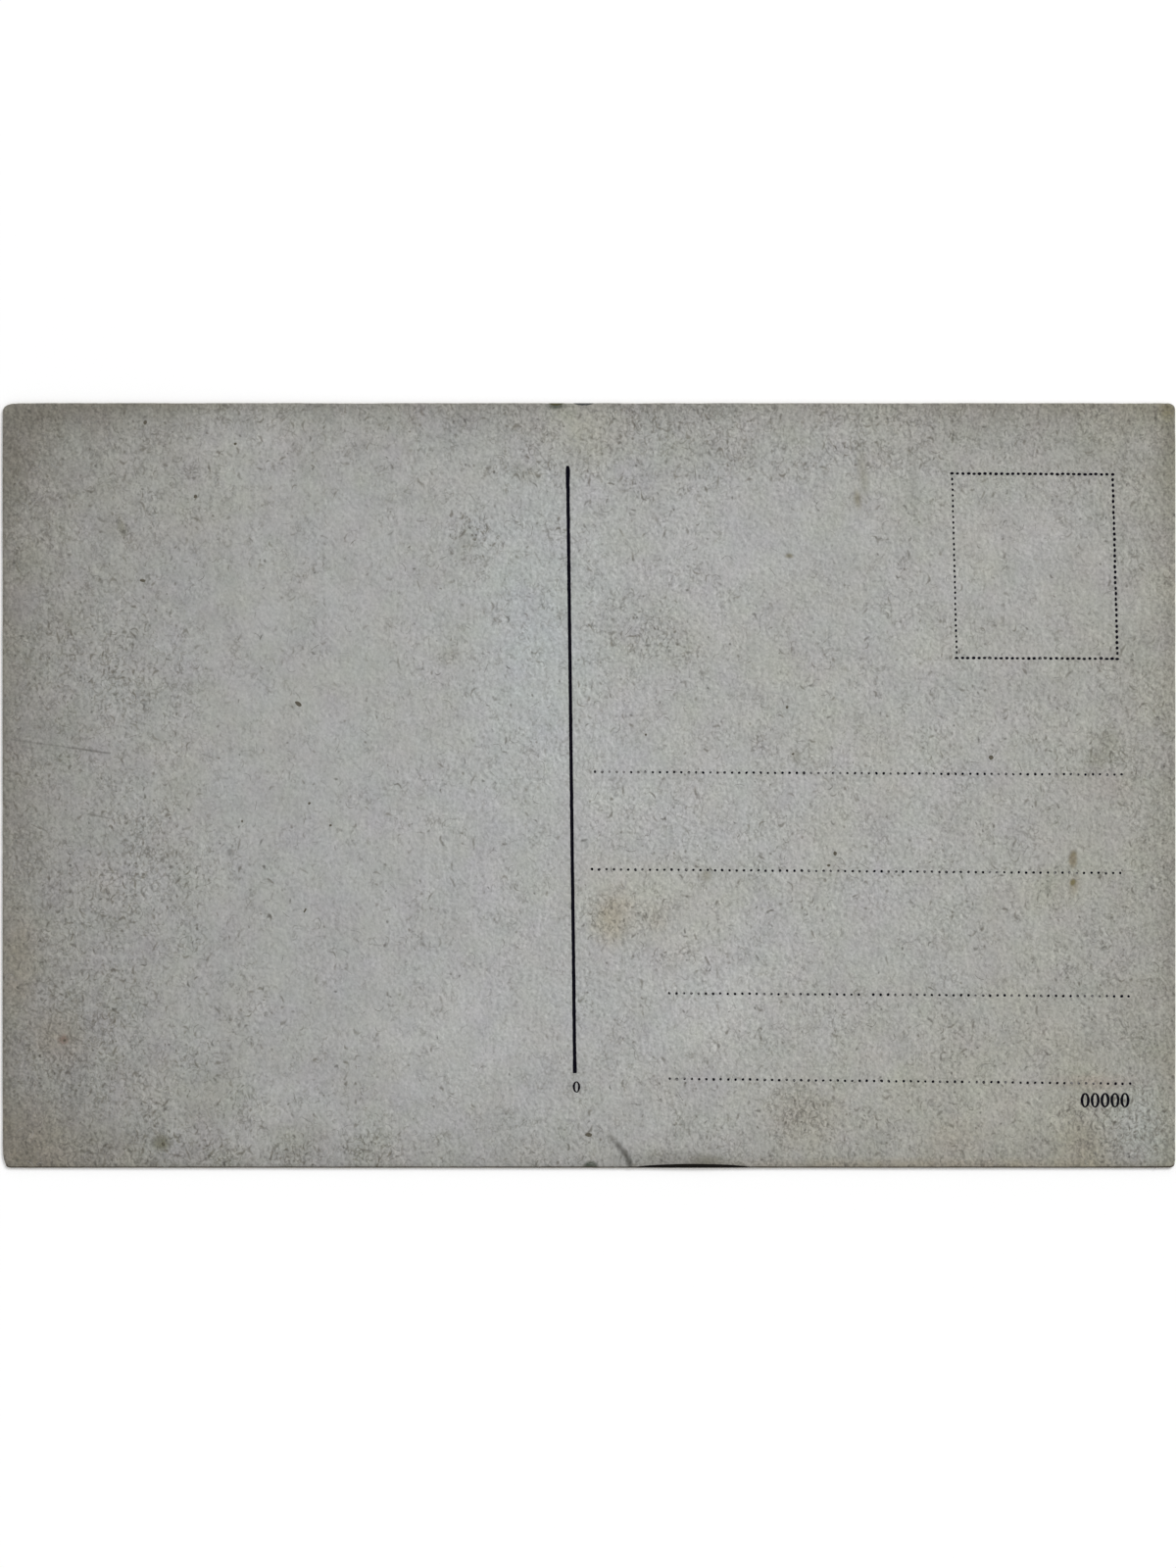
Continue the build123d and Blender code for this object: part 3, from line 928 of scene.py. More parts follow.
def dirt_and_painted_shade(graph, place, colour, above=0.0):
    """Colour of a lower ply above a height: painted shade along its bottom edge, and where the paper over it
    is worn away, olive grime at one stretch and painted shade at the others.
    """
    flat = graph.flat(place)
    clean = colour
    uneven = graph.between(graph.noise(place, 1.1, 3.0, 0.6), 0.9, 1.0)
    # Painted shade in a thin band along the bottom edge
    from_bottom = graph.minus(graph.parts(place)[1], BOTTOM)
    bottom_shade = graph.fade(from_bottom, 0.2, 0.7)
    colour = graph.mix(graph.times(bottom_shade, 0.85), colour, BOTTOM_EDGE_SHADE)
    # Olive grime at the first worn stretch, painted shade in the second nick, a near-black painted shadow at
    # the hollow
    for from_left, edge, half_width, stretch_colour in WORN_STRETCHES:
        centre = (LEFT + from_left, edge, 0.0)
        stain = blot(graph, flat, centre, (1.1 * half_width, 1.2), softness=0.3)
        colour = graph.mix(graph.times(stain, uneven), colour, stretch_colour)
    return graph.mix(graph.smooth(graph.parts(place)[2], above, above + 0.03), clean, colour)


def pulp_core():
    """Rough grey core, in thin layers where its edge shows, with painted shade along its bottom edge and a
    near-black painted shadow under the lifted stretch.
    """
    material, graph, shader = new_material("rough_core_pulp")
    place = graph.millimetres()
    layers = graph.vector("MULTIPLY", place, (1.4, 1.4, 26.0))
    pulp = graph.group(GROUPS["pulp"], {"Vector": layers, "Share": 0.8})
    colour = graph.mix(pulp["Mottling"], CORE_DARK, CORE_LIGHT)
    colour = graph.mix(graph.times(pulp["Dark Fibres"], 0.6), colour, CORE_FIBRE)
    # Painted shade along the bottom edge and at the worn stretches, olive grime at one of them
    colour = dirt_and_painted_shade(graph, place, colour)
    roughness = graph.between(pulp["Mottling"], 0.86, 1.0)
    finish_material(graph, shader, colour, roughness, pulp["Grain"], depth=0.04, specular=0.06)
    return material


def coated_paper():
    """Smooth coated paper, gone cream, with toned edges and a few rust-brown age spots."""
    material, graph, shader = new_material("aged_coated_paper")
    place = graph.millimetres()
    toning = edge_toning(graph, place, dict.fromkeys(TONING, COATING_TONING))
    mottling = graph.noise(place, 0.5, 4.0, 0.6)
    colour = graph.mix(toning, CREAM, CREAM_TONED)
    spots = graph.add("ShaderNodeTexVoronoi", {"Vector": graph.wander(place, 1.2, 0.5), "Scale": 0.16})
    near = graph.fade(spots.outputs["Distance"], 0.03, 0.11)
    chosen = graph.smooth(graph.parts(spots.outputs["Color"])[0], 0.55, 0.75)
    colour = graph.mix(graph.times(graph.times(near, chosen), 0.55), colour, BROWN)
    colour = graph.toned(colour, graph.between(mottling, 0.93, 1.07))
    # Above 0.16 mm, the same painted shade and grime as on the lower plies
    colour = dirt_and_painted_shade(graph, place, colour, above=0.16)
    roughness = graph.between(mottling, 0.50, 0.72)
    height = graph.noise(place, 2.6, 3.0, 0.6)
    finish_material(graph, shader, colour, roughness, height, depth=0.008, specular=0.35)
    return material


def dried_paste():
    """Dried starch paste, a thin brownish line between the plies."""
    material, graph, shader = new_material("dried_paste")
    place = graph.millimetres()
    streaks = graph.noise(graph.vector("MULTIPLY", place, (1.0, 1.0, 12.0)), 1.6, 4.0, 0.6)
    # Painted shade along the bottom edge and at the worn stretches, olive grime at one of them
    colour = dirt_and_painted_shade(graph, place, graph.mix(streaks, PASTE_DARK, PASTE_LIGHT))
    roughness = graph.between(streaks, 0.45, 0.75)
    finish_material(graph, shader, colour, roughness, streaks, depth=0.01, specular=0.06)
    return material


def rule_ink(settings):
    """Blue-black printing ink that has taken unevenly on the pulp."""
    material, graph, shader = new_material(INK_MATERIAL)
    place = graph.millimetres()
    inking = graph.add("ShaderNodeAttribute", attribute_name="inking").outputs["Fac"]
    cover = graph.group(GROUPS["ink"], {"Vector": place, "Inking": inking, "Scale": 5.5})["Coverage"]
    tone = graph.noise(place, 1.8, 3.0, 0.6)
    inked = graph.mix(tone, settings.ink, INK_LIGHT)
    colour = graph.mix(cover, INK_THIN, inked)
    roughness = graph.between(tone, 0.70, 0.95)
    finish_material(graph, shader, colour, roughness, tone, depth=0.01, specular=0.02)
    return material


# Picture: height of the waterline, and of a ground that is never seen
WATERLINE = -11.0
FAR_BELOW = -99.0

# Mountains: place across, height and steepness of each summit; then fineness, detail and roughness of their
# slopes and the step towards the light
SUMMITS = (
    (-58.0, 15.0, 0.60),
    (-27.0, 30.0, 0.88),
    (-8.0, 19.0, 0.75),
    (23.0, 24.0, 0.64),
    (58.0, 17.0, 0.50),
)
SLOPE_NOISE = (0.11, 6.0, 0.62)
SLOPE_STEP = (1.0, -0.8, 0.0)

# Level, rise, width, shift, roughness and softness of the grassy bank, and the same with its shade for each
# line of wooded hills
BANK = (-36.5, 9.0, 26.0, 21.4, 0.74, 0.3)
HILLS = (
    (1.0, 18.0, 34.0, 8.7, 0.62, 0.30, 0.40),
    (-7.0, 8.0, 13.0, 15.3, 0.80, 0.35, 0.22),
)

# Tree: centre and half size of its crown, then foot, top and half width of its trunk
CROWN_CENTRE = (44.0, 8.0, 0.0)
CROWN_SIZE = (15.0, 19.0)
TRUNK_FOOT = (46.5, -34.0, 0.0)
TRUNK_TOP = (44.5, 4.0, 0.0)
TRUNK_HALF_WIDTH = 1.7


def hill_line(graph, across, up, level, hill):
    """One line of hills: how much of the view it covers, and how far below its skyline a place is."""
    rise, width, shift, rough, softness = hill
    return graph.group(GROUPS["ridge"], {
        "Across": across, "Up": up, "Level": level, "Height": rise, "Width": width, "Shift": shift,
        "Roughness": rough, "Softness": softness,
    })


def mountain_range(graph, across, up):
    """Far mountains with lit and shaded slopes and snow: how much of the view they cover, and their tone."""
    here = graph.joined(across, up)
    rough = graph.swing(here, *SLOPE_NOISE)
    beside = graph.swing(graph.vector("ADD", here, SLOPE_STEP), *SLOPE_NOISE)
    warped = graph.math("MULTIPLY_ADD", rough, 30.0, across)
    skyline = FAR_BELOW
    ridge = FAR_BELOW
    shaded = 0.0
    for summit, height, steepness in SUMMITS:
        lines = []
        for here_across in (across, warped):
            aside = graph.math("ABSOLUTE", graph.minus(here_across, summit))
            lines.append(graph.math("MULTIPLY_ADD", aside, -steepness, height))
        side = graph.smooth(graph.minus(warped, summit), -2.0, 2.0)
        nearer = graph.smooth(graph.minus(lines[1], ridge), -0.9, 0.9)
        shaded = graph.blend(nearer, shaded, side)
        skyline = graph.math("MAXIMUM", skyline, lines[0])
        ridge = graph.math("MAXIMUM", ridge, lines[1])
    jagged = graph.minus(graph.noise_line(across, 0.14, 6.0, 0.64), 0.5)
    ragged = graph.times(jagged, 9.0)
    depth = graph.minus(graph.plus(skyline, ragged), up)
    snow = graph.smooth(graph.plus(up, graph.times(rough, 26.0)), 11.0, 15.0)
    slope = graph.times(graph.minus(rough, beside), 2.2)
    tone = graph.plus(graph.blend(shaded, 0.66, 0.42), graph.times(snow, 0.24))
    tone = graph.plus(tone, slope)
    hazy = graph.times(graph.smooth(depth, 6.0, 36.0), 0.7)
    return graph.smooth(depth, -0.25, 0.25), graph.blend(hazy, tone, 0.64)


def foreground(graph, across, up, tone):
    """Tone of the view with a grassy bank and one tree in front of it."""
    flat = graph.joined(across, up)
    rise = graph.times(graph.smooth(across, -10.0, 62.0), 10.0)
    level, *form = BANK
    bank = hill_line(graph, across, up, graph.plus(rise, level), form)["Hill"]
    blades = graph.joined(graph.times(across, 2.2), graph.times(up, 0.7))
    grass = graph.noise(blades, 1.0, 4.0, 0.7)
    tone = graph.blend(bank, tone, graph.between(grass, 0.02, 0.36))
    leafy = graph.wander(graph.wander(flat, 0.15, 7.0), 0.9, 2.6)
    crown = blot(graph, graph.flat(leafy), CROWN_CENTRE, CROWN_SIZE, softness=0.10)
    gaps = graph.smooth(graph.noise(flat, 0.42, 4.0, 0.7), 0.36, 0.44)
    trunk = graph.group(GROUPS["scratch"], {
        "Vector": graph.flat(graph.wander(flat, 0.2, 0.8)), "From": TRUNK_FOOT, "To": TRUNK_TOP,
        "Half Width": TRUNK_HALF_WIDTH,
    })["Scratch"]
    tree = graph.math("MAXIMUM", graph.times(crown, gaps), graph.smooth(trunk, 0.15, 0.35))
    leaves = graph.between(graph.noise(flat, 0.9, 4.0, 0.7), -0.12, 0.46)
    return graph.blend(tree, tone, leaves)


def picture_ink(settings):
    """A plain view of a lake and mountains in one brown ink, printed with a fine grain."""
    material, graph, shader = new_material("brown_picture_ink")
    place = graph.millimetres()
    x, y, _ = graph.parts(place)
    across = graph.times(x, -1.0)
    below = graph.smooth(graph.minus(WATERLINE, y), 0.0, 0.8)
    waves = graph.joined(graph.times(across, 0.10), graph.times(y, 1.5))
    ripple = graph.noise(waves, 1.0, 4.0)
    sway = graph.times(graph.times(graph.minus(ripple, 0.5), 9.0), below)
    height = graph.plus(graph.math("ABSOLUTE", graph.minus(y, WATERLINE)), WATERLINE)
    lifted = graph.plus(height, graph.times(sway, 0.25))
    sideways = graph.plus(across, sway)
    sky = graph.between(graph.smooth(lifted, -10.0, 45.0), 0.94, 0.70)
    clouds = graph.joined(graph.times(sideways, 0.030), graph.times(lifted, 0.075))
    puffs = graph.smooth(graph.noise(clouds, 1.0, 5.0, 0.55, 0.4), 0.46, 0.66)
    tone = graph.plus(sky, graph.times(puffs, 0.20))
    cover, slopes = mountain_range(graph, sideways, lifted)
    tone = graph.blend(cover, tone, slopes)
    for level, rise, width, shift, rough, softness, shade in HILLS:
        hill = hill_line(graph, sideways, lifted, level, (rise, width, shift, rough, softness))
        trees = graph.joined(graph.times(sideways, 1.5), graph.times(lifted, 0.7), shift)
        wooded = graph.swing(trees, 0.5 / math.sqrt(shade), 5.0, 0.7)
        surface = graph.plus(shade, graph.times(wooded, 0.5))
        haze = graph.times(graph.smooth(hill["Depth"], 2.0, 22.0), 0.12)
        tone = graph.blend(hill["Hill"], tone, graph.plus(surface, haze))
    gleam = graph.times(graph.smooth(ripple, 0.50, 0.70), 0.22)
    tone = graph.blend(below, tone, graph.plus(graph.times(tone, 0.80), gleam))
    tone = foreground(graph, across, y, tone)
    grain = graph.noise(place, 7.0, 2.0, 0.7)
    tone = graph.plus(tone, graph.times(graph.minus(grain, 0.5), 0.16), clamp=True)
    dark_half = graph.mix(graph.smooth(tone, 0.0, 0.5), settings.picture_dark, PICTURE_MIDDLE)
    colour = graph.mix(graph.smooth(tone, 0.3, 1.0), dark_half, settings.picture_light)
    roughness = graph.between(grain, 0.42, 0.66)
    finish_material(graph, shader, colour, roughness, grain, depth=0.006)
    return material


def strand_fibre(settings):
    """Loose wood fibre lying on the paper, each of its own shade."""
    material, graph, shader = new_material("loose_wood_fibre")
    place = graph.millimetres()
    shade = graph.add("ShaderNodeAttribute", attribute_name="inking").outputs["Fac"]
    colour = graph.mix(shade, settings.fibre, settings.light)
    grain = graph.noise(place, 9.0, 2.0)
    colour = graph.toned(colour, graph.between(grain, 0.8, 1.2))
    finish_material(graph, shader, colour, graph.between(grain, 0.75, 0.95), specular=0.2)
    return material


def splinter_wood():
    """Dark wood splinter pressed into the paper."""
    material, graph, shader = new_material("dark_wood_splinter")
    place = graph.millimetres()
    grain = graph.noise(place, 7.0, 3.0, 0.6)
    colour = graph.mix(grain, SPLINTER_DARK, SPLINTER_LIGHT)
    finish_material(graph, shader, colour, graph.between(grain, 0.7, 0.95), grain, depth=0.02, specular=0.2)
    return material


def bumps(x, y, fineness, seed):
    """Smooth noise from -1 to 1 at a place."""
    return noise.noise(Vector((fineness * x, fineness * y, seed)))


def corner_keys(mesh, face):
    """Corners of a face in whole micrometres, so that faces that meet have the same."""
    corners = (mesh.vertices[index].co for index in face.vertices)
    return [tuple(round(value / MM * MICRONS_IN_MM) for value in corner) for corner in corners]


def rectangle(low, high):
    """Corners of an upright rectangle, counter-clockwise."""
    return np.array([(low[0], low[1]), (high[0], low[1]), (high[0], high[1]), (low[0], high[1])])


def card_loop():
    """Outline of the card in the frame, counter-clockwise."""
    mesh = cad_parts["address_liner"].data
    edges = set()
    for face in mesh.polygons:
        if face.normal.z < 0.9:
            continue
        corners = corner_keys(mesh, face)
        for start, end in zip(corners, corners[1:] + corners[:1]):
            if (end, start) in edges:
                edges.remove((end, start))
            else:
                edges.add((start, end))
    following = dict(edges)
    start = min(following)
    loop = [start]
    while following[loop[-1]] != start:
        loop.append(following[loop[-1]])
    return np.array(loop)[:, :2] / MICRONS_IN_MM


def resampled(loop, step):
    """The same outline in even steps."""
    closed = np.vstack([loop, loop[:1]])
    along = np.concatenate([[0.0], np.cumsum(np.hypot(*np.diff(closed, axis=0).T))])
    count = round(along[-1] / step)
    places = np.arange(count) * along[-1] / count
    return np.column_stack([np.interp(places, along, closed[:, axis]) for axis in (0, 1)])


def inward(loop):
    """Unit vectors from each point of the outline into the card."""
    run = np.roll(loop, -1, axis=0) - np.roll(loop, 1, axis=0)
    normal = np.column_stack([-run[:, 1], run[:, 0]])
    return normal / np.linalg.norm(normal, axis=1)[:, None]


def softened(loop, passes):
    """The outline with its small corners evened out."""
    for _ in range(passes):
        loop = (np.roll(loop, 1, axis=0) + 2 * loop + np.roll(loop, -1, axis=0)) / 4
    return loop


def worn_loop(seed, setback, fray):
    """Outline of one ply: frayed all round, bitten here and there, and worn further at the corners."""
    loop = softened(resampled(card_loop(), EDGE_STEP), EDGE_SMOOTHING)
    under = setback > 0
    whole = np.zeros(len(loop), bool)
    if under:
        whole = loop[:, 1] < BOTTOM + UNDER_REACH
        for from_left, edge, half_width, _ in WORN_STRETCHES:
            beside = np.abs(loop[:, 0] - LEFT - from_left) < half_width
            near = beside & (np.abs(loop[:, 1] - edge) < STRETCH_REACH)
            loop[near, 1] = edge
            whole |= near
    worn = []
    for (x, y), unworn in zip(loop, whole):
        fine = 0.5 + 0.5 * bumps(x, y, 2.1, seed)
        slow = max(0.0, bumps(x, y, 0.25, seed + 0.4))
        bite = max(0.0, bumps(x, y, 0.6, seed + 0.7) - 0.5)
        corner = math.exp(-math.hypot(HALF_LENGTH - abs(x), HALF_HEIGHT - abs(y)) / CORNER_REACH)
        frayed = FINE_FRAY * fine + SLOW_FRAY * slow + BITE_FRAY * bite + CORNER_FRAY * corner * fine
        depth = setback + fray * frayed
        if not under and y < BOTTOM + BOTTOM_REACH:
            across = (x - LEFT - HOLLOW_FROM_LEFT) / HOLLOW_HALF_WIDTH
            depth += BOTTOM_SETBACK + HOLLOW_DEPTH * max(0.0, 1.0 - across * across)
        worn.append(UNDER_SHARE * depth if unworn else depth)
    return softened(loop + inward(loop) * np.array(worn)[:, None], 1)


def crease_distance(x, y):
    """Distance of a point from the crease beside the lifted stretch."""
    here = Vector((x, y))
    points = [Vector(card_point(*point)[:2]) for point in CREASE_POINTS]
    nearest = math.inf
    for start, end in zip(points, points[1:]):
        run = end - start
        share = min(1.0, max(0.0, (here - start).dot(run) / run.length_squared))
        nearest = min(nearest, (here - start - share * run).length)
    return nearest


def relief(x, y):
    """Height of the whole card above flat at a place."""
    cockle = COCKLE * (0.5 + 0.5 * bumps(x, y, 1 / COCKLE_WIDTH, 4.2))
    from_bottom = y - BOTTOM
    share = max(0.0, 1.0 - from_bottom / LIFT_REACH)
    across = (x - LEFT - LIFT_FROM_LEFT) / LIFT_HALF_WIDTH
    lift = LIFT * math.exp(-across * across) * share * share * (3 - 2 * share)
    fold = 0.0
    if from_bottom < 2 * LIFT_REACH:
        away = crease_distance(x, y) / CREASE_WIDTH
        fold = CREASE * math.exp(-away * away)
    return cockle + lift + fold


def face_grid(low, high, step):
    """Points of an even grid between two corners, inside the edge of the face there."""
    xs, ys = (np.linspace(start + FACE_MARGIN, end - FACE_MARGIN, round((end - start) / step))
              for start, end in zip(low, high))
    return [(x, y) for y in ys for x in xs]


def filled(ring, grid):
    """Triangles of a face inside a ring, numbered with the ring's points first and the grid's after them."""
    places = [Vector(point) for point in [*ring, *grid]]
    rim = [(index, (index + 1) % len(ring)) for index in range(len(ring))]
    _, _, faces, origins, _, _ = delaunay_2d_cdt(places, rim, [], 1, 1e-6)
    return [[origins[corner][0] for corner in face] for face in faces]


def on_card(x, y, height):
    """Point of a mesh, in metres, at a height above the card as if it lay flat."""
    return (x * MM, y * MM, (height + relief(x, y)) * MM)


def on_map(area, across, up):
    """Place on the bake map at shares across and up one of its areas."""
    left, bottom, width, height = area
    return (left + width * across, bottom + height * up)


def tube_faces(rings, count):
    """Four-sided faces between rings of points that follow each other."""
    faces = []
    for low in range(0, (rings - 1) * count, count):
        high = low + count
        for index in range(count):
            after = (index + 1) % count
            faces.append((low + index, low + after, high + after, high + index))
    return faces


class SheetMesh:
    """A closed sheet with rounded edges, built from rings round its edge and a face above and below."""

    def __init__(self, loop, low, high, shown):
        lip = min(0.5 * (high - low), LIP)
        self.rings = [(RIM, low), (lip, low), (0.0, low + lip), (0.0, high - lip), (lip, high), (RIM, high)]
        self.loop = loop
        self.points = []
        self.faces = tube_faces(len(self.rings), len(loop))
        self.maps = []
        self.shown = shown
        self.build()

    def spot(self, x, y, z, tooth=0.0):
        """Add a point, raised or lowered by the tooth of the paper."""
        self.points.append(on_card(x, y, z + tooth * bumps(x, y, 1 / TOOTH_WIDTH, 9.1)))

    def build(self):
        """Lay the rings, map the bands between them and fill both faces."""
        count = len(self.loop)
        into = inward(softened(self.loop, 2))
        for inset, height in self.rings:
            for x, y in self.loop + into * inset:
                self.spot(x, y, height)
        bands = len(self.rings) - 1
        for band in range(bands):
            for index in range(count):
                left, bottom = on_map(EDGE_AREA, index / count, band / bands)
                right, top = on_map(EDGE_AREA, (index + 1) / count, (band + 1) / bands)
                self.maps.extend([(left, bottom), (right, bottom), (right, top), (left, top)])
        self.close("upper", bands * count)
        self.close("lower", 0)

    def close(self, side, first):
        """Fill the face on one side from its ring, with its place on the bake map."""
        count = len(self.loop)
        shown = side == self.shown
        area = SHOWN_AREA if shown else HIDDEN_AREA
        low = self.loop.min(axis=0)
        high = self.loop.max(axis=0)
        grid = face_grid(low, high, FACE_STEP if shown else HIDDEN_STEP)
        height = self.rings[-1 if side == "upper" else 0][1]
        ring = [(x / MM, y / MM) for x, y, _ in self.points[first:first + count]]
        start = len(self.points)
        for x, y in grid:
            self.spot(x, y, height, TOOTH if shown else 0.0)
        for corners in filled(ring, grid):
            numbers = [first + corner if corner < count else start + corner - count for corner in corners]
            if side == "lower":
                numbers.reverse()
            self.faces.append(numbers)
            for number in numbers:
                across, up = (np.array(self.points[number][:2]) / MM - low) / (high - low)
                self.maps.append(on_map(area, across, up))

    def mesh(self, name):
        """New mesh of the sheet, with its bake map."""
        mesh = bpy.data.meshes.new(name)
        mesh.from_pydata(self.points, [], self.faces)
        bake_map = mesh.uv_layers.new(name=BAKE_MAP)
        bake_map.data.foreach_set("uv", np.array(self.maps, np.float32).ravel())
        mesh.polygons.foreach_set("use_smooth", [True] * len(mesh.polygons))
        mesh.update()
        return mesh


def new_piece(name, mesh, material, slot, *nodes):
    """Link a piece to the scene, on the card's body and in place of its CAD nodes."""
    piece = bpy.data.objects.new(name, mesh)
    bpy.context.scene.collection.objects.link(piece)
    if material is not None:
        mesh.materials.clear()
        mesh.materials.append(material)
    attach(piece, BODY)
    if nodes:
        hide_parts(*nodes)


def solids_of(node):
    """Centre, length, width and heading of each separate solid in a CAD node."""
    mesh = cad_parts[node].data
    owner = {}

    def root(key):
        while owner[key] != key:
            key = owner[key]
        return key

    for face in mesh.polygons:
        keys = corner_keys(mesh, face)
        for key in keys:
            owner.setdefault(key, key)
        for key in keys[1:]:
            owner[root(key)] = root(keys[0])
    solids = {}
    for key in owner:
        solids.setdefault(root(key), []).append(key)
    found = []
    for points in sorted(solids.values(), key=min):
        flat = np.array(points, float)[:, :2] / MICRONS_IN_MM
        centre = (flat.min(axis=0) + flat.max(axis=0)) / 2
        _, axes = np.linalg.eigh(np.cov((flat - centre).T))
        runs = (flat - centre) @ axes
        wide, long = np.ptp(runs, axis=0)
        found.append((centre, long, wide, math.atan2(axes[1, 1], axes[0, 1])))
    return found


def geometry_tree(name, inputs):
    """New geometry node group with a geometry in and out and named inputs for its sizes."""
    tree = bpy.data.node_groups.new(name, "GeometryNodeTree")
    tree.interface.new_socket("Geometry", in_out="INPUT", socket_type="NodeSocketGeometry")
    for socket, kind in inputs.items():
        tree.interface.new_socket(socket, in_out="INPUT", socket_type=kind)
    tree.interface.new_socket("Geometry", in_out="OUTPUT", socket_type="NodeSocketGeometry")
    given = tree.nodes.new("NodeGroupInput").outputs
    wanted = tree.nodes.new("NodeGroupOutput").inputs
    return Graph(tree), given, wanted


def random_value(graph, low, high, seed):
    """A value of its own for each point, between two limits."""
    values = {2: low, 3: high, "Seed": seed}
    return graph.add("FunctionNodeRandomValue", values, data_type="FLOAT").outputs[1]


def attribute(graph, name):
    """Value that each point of a guide carries under a name."""
    named = graph.add("GeometryNodeInputNamedAttribute", {"Name": name}, data_type="FLOAT")
    return named.outputs["Attribute"]


def set_material(graph, geometry, material):
    """The geometry with its material."""
    values = {"Geometry": geometry, "Material": material}
    return graph.add("GeometryNodeSetMaterial", values).outputs[0]


def marks_tree():
    """Small flat marks on the points of a guide, each ragged and of its own strength."""
    graph, given, wanted = geometry_tree("small_marks", {
        "Height": FLOAT, "Size Spread": FLOAT, "Shift": FLOAT, "Ragged": FLOAT, "Missing": FLOAT,
        "Weak Inking": FLOAT, "Strong Inking": FLOAT, "Seed": "NodeSocketInt",
        "Material": "NodeSocketMaterial",
    })
    chance = {"Probability": given["Missing"], "Seed": given["Seed"]}
    lost = graph.add("FunctionNodeRandomValue", chance, data_type="BOOLEAN").outputs[3]
    kept = graph.add("GeometryNodeDeleteGeometry", {"Geometry": given["Geometry"], "Selection": lost})
    back = graph.times(given["Shift"], -1.0)
    strays = [random_value(graph, back, given["Shift"], seed) for seed in (11, 12)]
    placed = graph.add("GeometryNodeSetPosition", {
        "Geometry": kept.outputs[0], "Offset": graph.joined(*strays),
    })
    disc = graph.add("GeometryNodeMeshCylinder", {"Vertices": 12, "Radius": 0.5, "Depth": 1.0},
                     fill_type="TRIANGLE_FAN").outputs["Mesh"]
    position = graph.add("GeometryNodeInputPosition").outputs[0]
    upper = graph.math("GREATER_THAN", graph.parts(position)[2], 0.0)
    pillow = graph.add("GeometryNodeSetPosition", {
        "Geometry": disc, "Selection": upper, "Position": graph.vector("MULTIPLY", position, (0.8, 0.8, 1.0)),
    })
    low = graph.minus(1.0, given["Size Spread"])
    high = graph.plus(1.0, given["Size Spread"])
    size = graph.joined(
        graph.times(attribute(graph, "long"), random_value(graph, low, high, 21)),
        graph.times(attribute(graph, "wide"), random_value(graph, low, high, 22)),
        given["Height"],
    )
    turn = graph.joined(0.0, 0.0, attribute(graph, "heading"))
    marks = graph.add("GeometryNodeInstanceOnPoints", {
        "Points": placed.outputs[0], "Instance": pillow.outputs[0], "Rotation": turn, "Scale": size,
    })
    slow = graph.noise(graph.scaled(position, 1 / MM), 0.085, 2.0)
    even = graph.between(slow, given["Weak Inking"], given["Strong Inking"])
    strength = graph.plus(even, random_value(graph, -0.25, 0.2, 31), clamp=True)
    inked = graph.add("GeometryNodeStoreNamedAttribute", {
        "Geometry": marks.outputs[0], "Name": "inking", "Value": strength,
    }, data_type="FLOAT", domain="INSTANCE")
    real = graph.add("GeometryNodeRealizeInstances", {"Geometry": inked.outputs[0]})
    rough = graph.add("ShaderNodeTexNoise", {
        "Vector": graph.scaled(position, 1 / MM), "Scale": 5.0, "Detail": 2.0,
    }).outputs["Color"]
    stray = graph.vector("MULTIPLY", graph.vector("SUBTRACT", rough, (0.5, 0.5, 0.5)), (2, 2, 0))
    ragged = graph.add("GeometryNodeSetPosition", {
        "Geometry": real.outputs[0], "Offset": graph.scaled(stray, given["Ragged"]),
    })
    return give(graph, wanted, {"Geometry": set_material(graph, ragged.outputs[0], given["Material"])})


